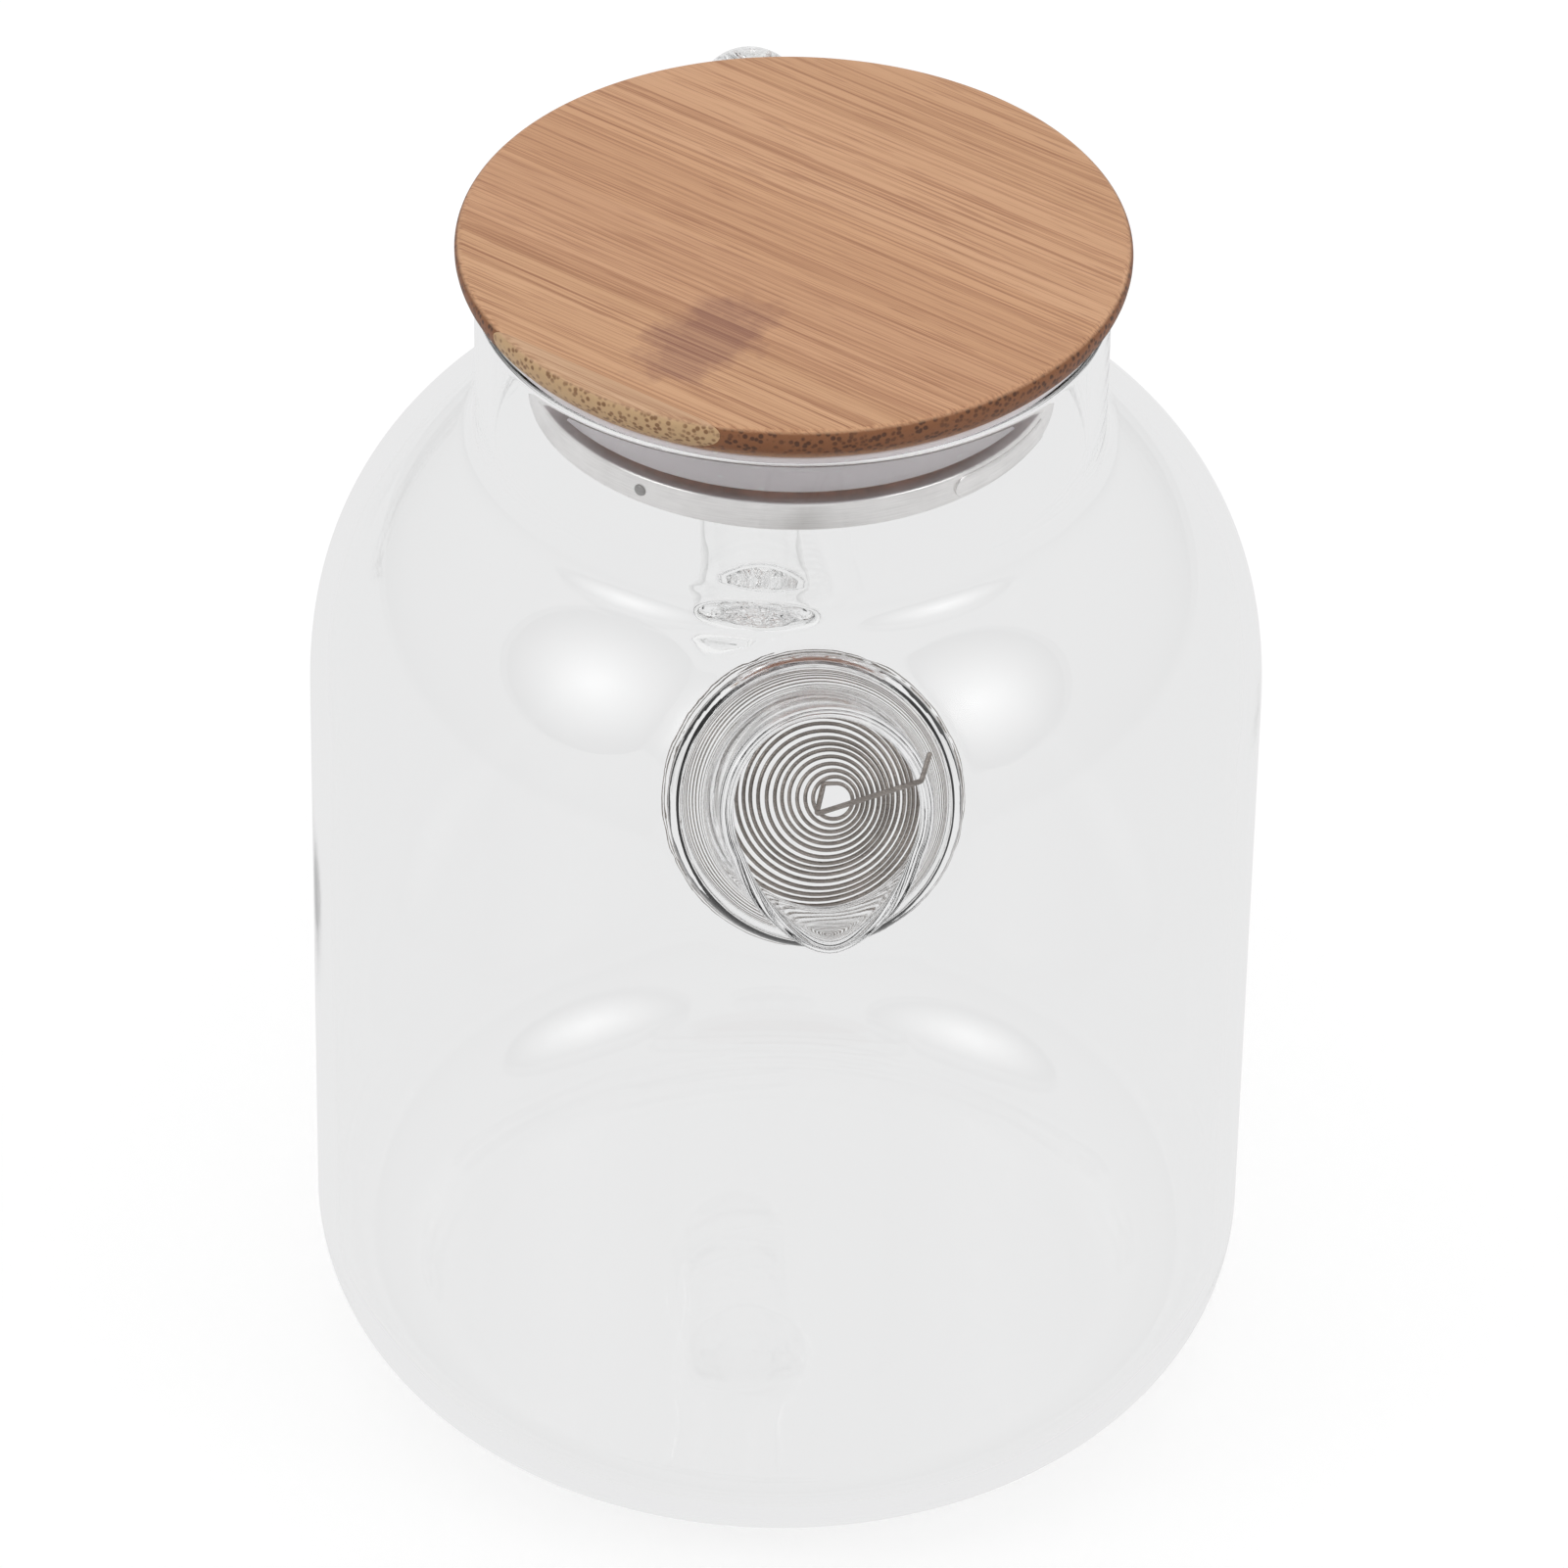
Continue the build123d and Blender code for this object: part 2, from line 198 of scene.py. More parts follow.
def grid_faces(rows: int, columns: int, closed: bool, start: int = 0) -> list[tuple[int, int, int, int]]:
    """Quads of a grid whose columns run around; closed also joins the last row to the first."""
    faces = []
    for i in range(rows if closed else rows - 1):
        for j in range(columns):
            a, b = i * columns, ((i + 1) % rows) * columns
            k = (j + 1) % columns
            faces.append((start + a + j, start + a + k, start + b + k, start + b + j))
    return faces


def frames_along(path: np.ndarray) -> tuple[np.ndarray, np.ndarray]:
    """Two unit vectors across a path at each of its points, carried along without twist."""
    tangent = np.gradient(path, axis=0)
    tangent /= np.linalg.norm(tangent, axis=1)[:, None]
    across = np.cross(tangent[0], (0.0, 0.0, 1.0))
    if np.linalg.norm(across) < 1e-3:
        across = np.cross(tangent[0], (1.0, 0.0, 0.0))
    first = [across / np.linalg.norm(across)]
    for t in tangent[1:]:
        carried = first[-1] - t * np.dot(first[-1], t)
        first.append(carried / np.linalg.norm(carried))
    return np.array(first), np.cross(tangent, np.array(first))


def tube(name: str, path: np.ndarray, radius: np.ndarray, sides: int = 12) -> Piece:
    """Closed round bar along a path.

    Args:
        name: Object name.
        path: Points in millimetres.
        radius: Bar radius at each point.
        sides: Facets around it.

    Returns:
        The bar, with flat ends.
    """
    u, v = frames_along(path)
    turn = np.linspace(0, 2 * math.pi, sides, endpoint=False)
    ring = np.cos(turn)[None, :, None] * u[:, None] + np.sin(turn)[None, :, None] * v[:, None]
    verts = (path[:, None] + ring * radius[:, None, None]).reshape(-1, 3)
    faces: list[tuple[int, ...]] = list(grid_faces(len(path), sides, False))
    faces.append(tuple(range(sides)))
    faces.append(tuple(reversed(range((len(path) - 1) * sides, len(path) * sides))))
    piece = mesh_object(name, verts, faces)
    face_outwards(piece)
    return piece


def resample(path: np.ndarray, step: float) -> np.ndarray:
    """The same path with points about one step apart."""
    along = np.concatenate([[0], np.cumsum(np.linalg.norm(np.diff(path, axis=0), axis=1))])
    places = np.linspace(0, along[-1], max(2, int(along[-1] / step)))
    return np.stack([np.interp(places, along, path[:, k]) for k in range(3)], axis=1)


def rounded_route(corners: Sequence[Sequence[float]], radius: float, step: float) -> np.ndarray:
    """Straight runs joined by true arcs.

    Args:
        corners: Ends and corners of the runs.
        radius: Arc radius at each corner.
        step: Spacing of the returned points.

    Returns:
        Points along the route.
    """
    points = [np.array(p, float) for p in corners]
    route = [points[0]]
    for before, corner, after in zip(points, points[1:], points[2:]):
        a = (before - corner) / np.linalg.norm(before - corner)
        b = (after - corner) / np.linalg.norm(after - corner)
        half = math.acos(float(np.clip(np.dot(a, b), -1, 1))) / 2
        middle = (a + b) / np.linalg.norm(a + b)
        centre = corner + middle * radius / math.sin(half)
        start, end = corner + a * radius / math.tan(half), corner + b * radius / math.tan(half)
        for t in np.linspace(0, 1, 24):
            p = start * (1 - t) + end * t - centre
            route.append(centre + radius * p / np.linalg.norm(p))
    route.append(points[-1])
    return resample(np.array(route), step)


def cut(piece: Piece, other: Piece, operation: str) -> None:
    """Joins, trims or cuts one closed mesh with another.

    Args:
        piece: The mesh that changes.
        other: The mesh it is combined with, which is used up.
        operation: UNION or DIFFERENCE.
    """
    modifier = piece.modifiers.new("cut", "BOOLEAN")
    modifier.operation = operation
    modifier.object = other
    modifier.solver = "MANIFOLD"
    graph = bpy.context.evaluated_depsgraph_get()
    graph.update()
    result = bpy.data.meshes.new_from_object(piece.evaluated_get(graph))
    piece.modifiers.clear()
    piece.data = result
    bpy.data.objects.remove(other)


def flow_seams(piece: Piece, reach: float, rounds: int, angle: float = 24.0) -> None:
    """Melts the sharp seams of a mesh into soft fillets.

    Args:
        piece: The mesh.
        reach: How far from a seam the surface moves, in millimetres.
        rounds: Smoothing passes.
        angle: Bend, in degrees, from which an edge counts as a seam.
    """
    mesh = bmesh.new()
    mesh.from_mesh(piece.data)
    bmesh.ops.remove_doubles(mesh, verts=mesh.verts, dist=0.12 * MM)
    bmesh.ops.triangulate(mesh, faces=[f for f in mesh.faces if len(f.verts) > 4])
    limit = math.radians(angle)
    sharp = [e for e in mesh.edges if len(e.link_faces) == 2 and e.calc_face_angle(0) > limit]
    seam = {v for e in sharp for v in e.verts}
    if seam:
        points = np.array([v.co for v in seam])
        mesh.verts.ensure_lookup_table()
        everything = np.array([v.co for v in mesh.verts])
        distance = np.full(len(everything), 9.0)
        for start in range(0, len(everything), 4000):
            block = everything[start : start + 4000]
            gap = np.linalg.norm(block[:, None] - points[None], axis=2)
            distance[start : start + 4000] = gap.min(axis=1)
        weight = np.clip(1 - distance / (reach * MM), 0, 1) ** 0.7
        near = [i for i in range(len(everything)) if weight[i] > 0]
        links = {i: [e.other_vert(mesh.verts[i]).index for e in mesh.verts[i].link_edges] for i in near}
        place = everything.copy()
        for _ in range(rounds):
            moved = place.copy()
            for i in near:
                moved[i] += 0.6 * weight[i] * (place[links[i]].mean(axis=0) - place[i])
            place = moved
        for i in near:
            mesh.verts[i].co = place[i]
    mesh.to_mesh(piece.data)
    mesh.free()
    piece.data.shade_smooth()


# ---------------------------------------------------------------- shader helpers


class Nodes:
    """Short way to add and join the nodes of one tree."""

    def __init__(self, tree: Tree) -> None:
        """Keeps the tree that the nodes go into."""
        self.tree = tree

    def add(self, kind: str, **values: object) -> bpy.types.Node:
        """Adds a node.

        Args:
            kind: Node type without its ShaderNode prefix.
            **values: Node settings, or input values where the name is an input's with _ for spaces.

        Returns:
            The node.
        """
        prefix = "" if kind.startswith("NodeGroup") else "ShaderNode"
        node = self.tree.nodes.new(prefix + kind)
        for key, value in values.items():
            if hasattr(node, key):
                setattr(node, key, value)
            else:
                self.put(node.inputs[key.replace("_", " ")], value)
        return node

    def put(self, socket: Socket, value: object) -> None:
        """Links an output to a socket, or sets the socket's own value."""
        if isinstance(value, Socket):
            self.tree.links.new(value, socket)
        elif socket.type == "RGBA" and isinstance(value, tuple):
            socket.default_value = (*value, 1.0)
        else:
            socket.default_value = value

    def math(self, operation: str, *values: object) -> Socket:
        """Output of a Math node on sockets or numbers."""
        node = self.tree.nodes.new("ShaderNodeMath")
        node.operation = operation
        for socket, value in zip(node.inputs, values):
            self.put(socket, value)
        return node.outputs[0]

    def scaled(self, vector: Socket, scale: Sequence[float], turn: float = 0.0) -> Socket:
        """A vector turned about Z, in degrees, and then scaled on each axis."""
        turned = self.add("Mapping", Vector=vector)
        turned.inputs["Rotation"].default_value = (0, 0, math.radians(turn))
        sized = self.add("Mapping", Vector=turned.outputs[0])
        sized.inputs["Scale"].default_value = tuple(scale)
        return sized.outputs[0]

    def noise(self, vector: object, scale: float, detail: float = 3.0, rough: float = 0.55) -> Socket:
        """Value output of a Noise texture."""
        return self.add("TexNoise", Vector=vector, Scale=scale, Detail=detail, Roughness=rough).outputs[0]

    def ramp(self, value: object, stops: Sequence[tuple[float, object]]) -> Socket:
        """Color output of a ramp; each stop is (position, grey level or colour)."""
        node = self.add("ValToRGB", Fac=value)
        elements = node.color_ramp.elements
        while len(elements) < len(stops):
            elements.new(0.5)
        for element, (place, level) in zip(elements, stops):
            element.position = place
            tone = level if isinstance(level, tuple) else (level, level, level)
            element.color = (*tone, 1.0)
        return node.outputs[0]

    def mix(self, share: object, a: object, b: object, blend: str = "MIX") -> Socket:
        """Color output of a mix of two colours."""
        node = self.tree.nodes.new("ShaderNodeMix")
        node.data_type = "RGBA"
        node.blend_type = blend
        self.put(node.inputs[0], share)
        self.put(node.inputs[6], a)
        self.put(node.inputs[7], b)
        return node.outputs[2]


def new_group(
    name: str, inputs: Sequence[tuple[str, str, object]], outputs: Sequence[tuple[str, str]]
) -> tuple[Tree, "Nodes", object, object]:
    """Starts a shader node group.

    Args:
        name: Group name.
        inputs: (name, socket type, default) of each input.
        outputs: (name, socket type) of each output.

    Returns:
        The tree, a Nodes helper on it, its input node's outputs and its output node's inputs.
    """
    tree = bpy.data.node_groups.new(name, "ShaderNodeTree")
    for label, kind, default in inputs:
        socket = tree.interface.new_socket(label, in_out="INPUT", socket_type=kind)
        if default is not None:
            socket.default_value = default
    for label, kind in outputs:
        tree.interface.new_socket(label, in_out="OUTPUT", socket_type=kind)
    inside = tree.nodes.new("NodeGroupInput")
    outside = tree.nodes.new("NodeGroupOutput")
    return tree, Nodes(tree), inside.outputs, outside.inputs


def use_group(nodes: Nodes, tree: Tree, **values: object) -> bpy.types.Node:
    """Places a node group with its own input values."""
    node = nodes.tree.nodes.new("ShaderNodeGroup")
    node.node_tree = tree
    for key, value in values.items():
        nodes.put(node.inputs[key.replace("_", " ")], value)
    return node


def bare_material(name: str) -> tuple[Material, Nodes, Socket]:
    """A node material with nothing in it, its Nodes helper and its output's surface socket."""
    material = bpy.data.materials.new(name)
    material.use_nodes = True
    material.node_tree.nodes.clear()
    nodes = Nodes(material.node_tree)
    return material, nodes, nodes.add("OutputMaterial").inputs["Surface"]


def new_material(name: str) -> tuple[Material, Nodes, bpy.types.Node]:
    """A node material, its Nodes helper and its Principled shader, already linked."""
    material, nodes, surface = bare_material(name)
    shader = nodes.add("BsdfPrincipled")
    nodes.put(surface, shader.outputs[0])
    return material, nodes, shader


# ---------------------------------------------------------------- shared surface effects


def fibre_group() -> Tree:
    """Long bamboo fibres along X: pale and dark streaks, short dark vessels, and a height."""
    tree, n, given, made = new_group(
        "bamboo_fibres",
        [("Vector", "NodeSocketVector", None)],
        [
            ("Streaks", "NodeSocketFloat"),
            ("Vessels", "NodeSocketFloat"),
            ("Bands", "NodeSocketFloat"),
            ("Height", "NodeSocketFloat"),
        ],
    )
    wobble = n.noise(given["Vector"], 14.0, 1.0)
    bent = n.add("VectorMath", operation="MULTIPLY_ADD")
    n.put(bent.inputs[0], n.add("CombineXYZ", Y=n.math("SUBTRACT", wobble, 0.5)).outputs[0])
    bent.inputs[1].default_value = (0, 0.0008, 0)
    n.put(bent.inputs[2], given["Vector"])
    fine = n.noise(n.scaled(bent.outputs[0], (14, 2200, 2200)), 1.0, 4.0, 0.72)
    coarse = n.noise(n.scaled(bent.outputs[0], (7, 620, 620)), 1.0, 2.0, 0.55)
    bands = n.noise(n.scaled(bent.outputs[0], (3, 150, 150)), 1.0, 2.0, 0.5)
    vessels = n.noise(n.scaled(bent.outputs[0], (90, 2800, 2800)), 1.0, 1.0, 0.4)
    streaks = n.math("ADD", n.math("MULTIPLY", fine, 0.8), n.math("MULTIPLY", coarse, 0.2))
    n.put(made["Streaks"], streaks)
    pits = n.ramp(vessels, [(0.60, 0.0), (0.70, 1.0)])
    n.put(made["Vessels"], pits)
    n.put(made["Bands"], bands)
    n.put(made["Height"], n.math("SUBTRACT", streaks, n.math("MULTIPLY", pits, 0.5)))
    return tree


def pore_group() -> Tree:
    """Cut fibre ends: round dark pores on a paler ground."""
    tree, n, given, made = new_group(
        "bamboo_pores",
        [("Vector", "NodeSocketVector", None), ("Scale", "NodeSocketFloat", 1250.0)],
        [("Pores", "NodeSocketFloat")],
    )
    cells = n.add("TexVoronoi", Vector=given["Vector"], feature="F1")
    n.put(cells.inputs["Scale"], given["Scale"])
    dots = n.ramp(cells.outputs["Distance"], [(0.32, 1.0), (0.52, 0.0)])
    cloud = n.noise(given["Vector"], 260.0, 2.0)
    n.put(made["Pores"], n.math("MULTIPLY", dots, n.ramp(cloud, [(0.35, 0.55), (0.52, 1.0)])))
    return tree


def speck_group() -> Tree:
    """Fine dust and small bubbles, as a sparse mask and a broad smear mask."""
    tree, n, given, made = new_group(
        "specks",
        [("Vector", "NodeSocketVector", None), ("Density", "NodeSocketFloat", 0.1)],
        [("Specks", "NodeSocketFloat"), ("Smear", "NodeSocketFloat")],
    )
    cells = n.add("TexVoronoi", Vector=given["Vector"], Scale=520.0, feature="F1")
    dots = n.math("LESS_THAN", cells.outputs["Distance"], given["Density"])
    chance = n.math("GREATER_THAN", n.noise(given["Vector"], 330.0, 1.0), 0.56)
    n.put(made["Specks"], n.math("MULTIPLY", dots, chance))
    n.put(made["Smear"], n.noise(given["Vector"], 34.0, 3.0))
    return tree


def brushing_group() -> Tree:
    """Fine lines around the Z axis, for rolled and drawn steel."""
    tree, n, given, made = new_group(
        "steel_brushing",
        [("Vector", "NodeSocketVector", None)],
        [("Lines", "NodeSocketFloat"), ("Mottle", "NodeSocketFloat")],
    )
    split = n.add("SeparateXYZ", Vector=given["Vector"])
    turn = n.math("ARCTAN2", split.outputs[1], split.outputs[0])
    height = n.math("MULTIPLY", split.outputs[2], 7000.0)
    around = n.add("CombineXYZ", X=n.math("MULTIPLY", turn, 6.0), Y=height)
    n.put(made["Lines"], n.noise(around.outputs[0], 1.0, 3.0, 0.6))
    n.put(made["Mottle"], n.noise(given["Vector"], 140.0, 3.0))
    return tree


@dataclass
class Effects:
    """Shader node groups that several finishes use."""

    fibres: Tree
    pores: Tree
    specks: Tree
    brushing: Tree

    @classmethod
    def build(cls) -> "Effects":
        """Makes every group once."""
        return cls(fibre_group(), pore_group(), speck_group(), brushing_group())


# ---------------------------------------------------------------- finishes


@dataclass(frozen=True)
class BambooFinish:
    """Sanded, oiled bamboo; colours are linear."""

    name: str
    pale: Color = (0.66, 0.40, 0.235)
    mid: Color = (0.56, 0.315, 0.175)
    dark: Color = (0.37, 0.165, 0.085)
    cut_end: Color = (0.235, 0.09, 0.036)
    pore: Color = (0.07, 0.025, 0.012)
    grain_angle: float = -40.0
    offset: float = 0.0
    node_mark: bool = False
    mark_tone: Color = (0.25, 0.105, 0.075)
    mark_place: Point2 = (0.0045, -0.0262)
    mark_size: Point2 = (0.0082, 0.0128)

    def make(self, effects: Effects) -> Material:
        """Builds the material.

        Args:
            effects: Shared node groups.

        Returns:
            The bamboo material.
        """
        material, n, shader = new_material(self.name)
        place = n.add("TexCoord").outputs["Object"]
        along = n.scaled(place, (1, 1, 1), -self.grain_angle)
        shifted = n.add("VectorMath", operation="ADD")
        n.put(shifted.inputs[0], along)
        shifted.inputs[1].default_value = (self.offset, self.offset * 0.37, self.offset * 0.21)
        fibre = use_group(n, effects.fibres, Vector=shifted.outputs[0])
        tone = n.ramp(fibre.outputs["Streaks"], [(0.37, self.dark), (0.465, self.mid), (0.54, self.pale)])
        tone = n.mix(n.ramp(fibre.outputs["Bands"], [(0.35, 0.0), (0.65, 0.35)]), tone, self.mid)
        tone = n.mix(n.math("MULTIPLY", fibre.outputs["Vessels"], 0.55), tone, self.dark)
        if self.node_mark:
            tone = self.with_node_mark(n, along, tone, fibre.outputs["Streaks"])
        height = fibre.outputs["Height"]
        facing = n.add("SeparateXYZ", Vector=n.add("NewGeometry").outputs["Normal"])
        upright = n.math("ABSOLUTE", facing.outputs[2])
        side = n.ramp(upright, [(0.55, 1.0), (0.85, 0.0)])
        pores = use_group(n, effects.pores, Vector=place)
        end_tone = n.mix(pores.outputs["Pores"], self.cut_end, self.pore)
        tone = n.mix(n.math("MULTIPLY", side, 0.96), tone, end_tone)
        n.put(shader.inputs["Base Color"], tone)
        n.put(shader.inputs["Roughness"], n.math("MULTIPLY_ADD", fibre.outputs["Streaks"], -0.18, 0.62))
        shader.inputs["Specular IOR Level"].default_value = 0.35
        bump = n.add("Bump", Strength=0.35, Distance=0.00012, Height=height)
        n.put(shader.inputs["Normal"], bump.outputs[0])
        return material

    def with_node_mark(self, n: Nodes, along: Socket, tone: Socket, streaks: Socket) -> Socket:
        """Adds the dark, cloudy mark of a cane joint across the grain.

        Args:
            n: Helper on the material's tree.
            along: Place, with X along the grain.
            tone: Wood colour so far.
            streaks: The fibres' streaks, which show in the mark.

        Returns:
            The wood colour with the mark.
        """
        split = n.add("SeparateXYZ", Vector=along)
        x = n.math("DIVIDE", n.math("SUBTRACT", split.outputs[0], self.mark_place[0]), self.mark_size[0])
        y = n.math("DIVIDE", n.math("SUBTRACT", split.outputs[1], self.mark_place[1]), self.mark_size[1])
        ring = n.math("SQRT", n.math("ADD", n.math("POWER", x, 2.0), n.math("POWER", y, 2.0)))
        cloud = n.math("SUBTRACT", n.noise(along, 240.0, 4.0), 0.5)
        ragged = n.math("ADD", ring, n.math("MULTIPLY", cloud, 1.3))
        inside = n.ramp(ragged, [(0.55, 0.72), (1.15, 0.0)])
        mark = n.math("MULTIPLY", inside, n.ramp(streaks, [(0.42, 1.0), (0.56, 0.55)]))
        return n.mix(mark, tone, self.mark_tone)


@dataclass(frozen=True)
class GlassFinish:
    """Clear borosilicate glass."""

    name: str = "clear_glass"
    tint: Color = (0.993, 0.994, 0.993)
    dust: Color = (0.8, 0.8, 0.8)
    ior: float = 1.36

    def make(self, effects: Effects) -> Material:
        """Builds the material.

        Args:
            effects: Shared node groups.

        Returns:
            The glass material.
        """
        material, n, shader = new_material(self.name)
        place = n.add("TexCoord").outputs["Object"]
        specks = use_group(n, effects.specks, Vector=place, Density=0.05)
        dusty = n.math("MULTIPLY", specks.outputs["Specks"], 0.15)
        n.put(shader.inputs["Base Color"], n.mix(dusty, self.tint, self.dust))
        shader.inputs["Transmission Weight"].default_value = 1.0
        shader.inputs["IOR"].default_value = self.ior
        n.put(shader.inputs["Roughness"], n.ramp(specks.outputs["Smear"], [(0.5, 0.0), (0.9, 0.012)]))
        ripple = n.noise(n.scaled(place, (30, 30, 14)), 1.0, 1.0)
        bump = n.add("Bump", Strength=0.08, Distance=0.002, Height=ripple)
        n.put(shader.inputs["Normal"], bump.outputs[0])
        return material


@dataclass(frozen=True)
class SiliconeFinish:
    """Translucent silicone with trapped bubbles."""

    name: str = "silicone"
    tint: Color = (0.95, 0.88, 0.91)
    cloudy: Color = (0.84, 0.78, 0.80)
    bubble: Color = (0.95, 0.95, 0.95)

    def make(self, effects: Effects) -> Material:
        """Builds the material.

        Args:
            effects: Shared node groups.

        Returns:
            The silicone material.
        """
        material, n, shader = new_material(self.name)
        place = n.add("TexCoord").outputs["Object"]
        specks = use_group(n, effects.specks, Vector=place, Density=0.22)
        cloud = n.mix(n.ramp(specks.outputs["Smear"], [(0.35, 0.0), (0.7, 1.0)]), self.tint, self.cloudy)
        bubbly = n.math("MULTIPLY", specks.outputs["Specks"], 0.7)
        n.put(shader.inputs["Base Color"], n.mix(bubbly, cloud, self.bubble))
        n.put(shader.inputs["Roughness"], n.math("MULTIPLY_ADD", specks.outputs["Smear"], 0.2, 0.28))
        shader.inputs["Transmission Weight"].default_value = 0.08
        shader.inputs["Subsurface Weight"].default_value = 0.3
        shader.inputs["Subsurface Radius"].default_value = (0.004, 0.0036, 0.0038)
        shader.inputs["Subsurface Scale"].default_value = 1.0
        shader.inputs["IOR"].default_value = 1.41
        bump = n.add("Bump", Strength=0.25, Distance=0.0003, Height=n.noise(place, 700.0, 2.0))
        n.put(shader.inputs["Normal"], bump.outputs[0])
        return material


@dataclass(frozen=True)
class SteelFinish:
    """Stainless steel, brushed around the jug's axis."""

    name: str
    tone: Color = (0.97, 0.955, 0.945)
    shade: Color = (0.80, 0.785, 0.775)
    roughness: float = 0.34
    relief: float = 0.2

    def make(self, effects: Effects) -> Material:
        """Builds the material.

        Args:
            effects: Shared node groups.

        Returns:
            The steel material.
        """
        material, n, shader = new_material(self.name)
        place = n.add("TexCoord").outputs["Object"]
        lines = use_group(n, effects.brushing, Vector=place)
        mottle = lines.outputs["Mottle"]
        fine = n.math("MULTIPLY", lines.outputs["Lines"], 0.5)
        dull = n.math("ADD", fine, n.math("MULTIPLY", mottle, 0.5))
        bright = n.ramp(dull, [(0.4, 0.0), (0.62, 1.0)])
        n.put(shader.inputs["Base Color"], n.mix(bright, self.shade, self.tone))
        shader.inputs["Metallic"].default_value = 1.0
        n.put(shader.inputs["Roughness"], n.math("MULTIPLY_ADD", mottle, 0.2, self.roughness - 0.1))
        bump = n.add("Bump", Strength=self.relief, Distance=0.00006, Height=lines.outputs["Lines"])
        n.put(shader.inputs["Normal"], bump.outputs[0])
        return material


def dress(piece: Piece, material: Material, body: Body, slot: Slot, *nodes: str) -> None:
    """Gives a piece its material, ties it to its body and hides the CAD nodes that it replaces.

    Args:
        piece: The finished mesh.
        material: Its finish.
        body: The body that it rides on.
        slot: The record's material slot; not used.
        *nodes: CAD nodes that it replaces.
    """
    piece.data.materials.clear()
    piece.data.materials.append(material)
    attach(piece, body.value)
    if nodes:
        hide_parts(*nodes)
    log.info("%s: %d faces, rides on %s", piece.name, len(piece.data.polygons), body.value)


# ---------------------------------------------------------------- glass


@dataclass
class SpoutShape:
    """Shape of the drawn spout, in millimetres; its axis rises out of the shoulder."""

    tilt: float = 34.0
    root_y: float = -59.7
    root_z: float = 133.1
    length: float = 25.0
    wall: float = 1.9
    root_radius: float = 19.3
    waist_radius: float = 15.2
    waist_at: float = 9.0
    mouth_radius: float = 13.8
    lip_reach: float = 19.2
    lip_half_angle: float = 62.0
    lip_start: float = 12.0
    lip_soft: float = 4.5

    def place(self, across: float, up: float, out: float) -> np.ndarray:
        """Point of the shared frame from a place across, up and out along the spout."""
        a = math.radians(self.tilt)
        return np.array(
            (
                across,
                self.root_y - out * math.cos(a) + up * math.sin(a),
                self.root_z + out * math.sin(a) + up * math.cos(a),
            )
        )

    def radius(self, out: float, angle: float, inset: float) -> float:
        """Radius at a distance out; angle 0 is the pouring lip's side.

        Args:
            out: Distance from the shoulder along the axis.
            angle: Degrees around the axis.
            inset: Depth below the outer surface.

        Returns:
            The radius in millimetres.
        """
        if out < self.waist_at:
            share = min(1.0, 1 - out / self.waist_at)
            plain = self.waist_radius + (self.root_radius - self.waist_radius) * share**2
        else:
            share = (out - self.waist_at) / (self.length - self.waist_at)
            plain = self.waist_radius + (self.mouth_radius - self.waist_radius) * share
        drawn = max(0.0, (out - self.lip_start) / (self.length - self.lip_start)) ** 1.6
        turn = math.sqrt(angle * angle + self.lip_soft**2) - self.lip_soft * 0.75
        around = max(0.0, 1 - turn / self.lip_half_angle)
        return plain - inset + (self.lip_reach - self.mouth_radius) * drawn * around**1.5


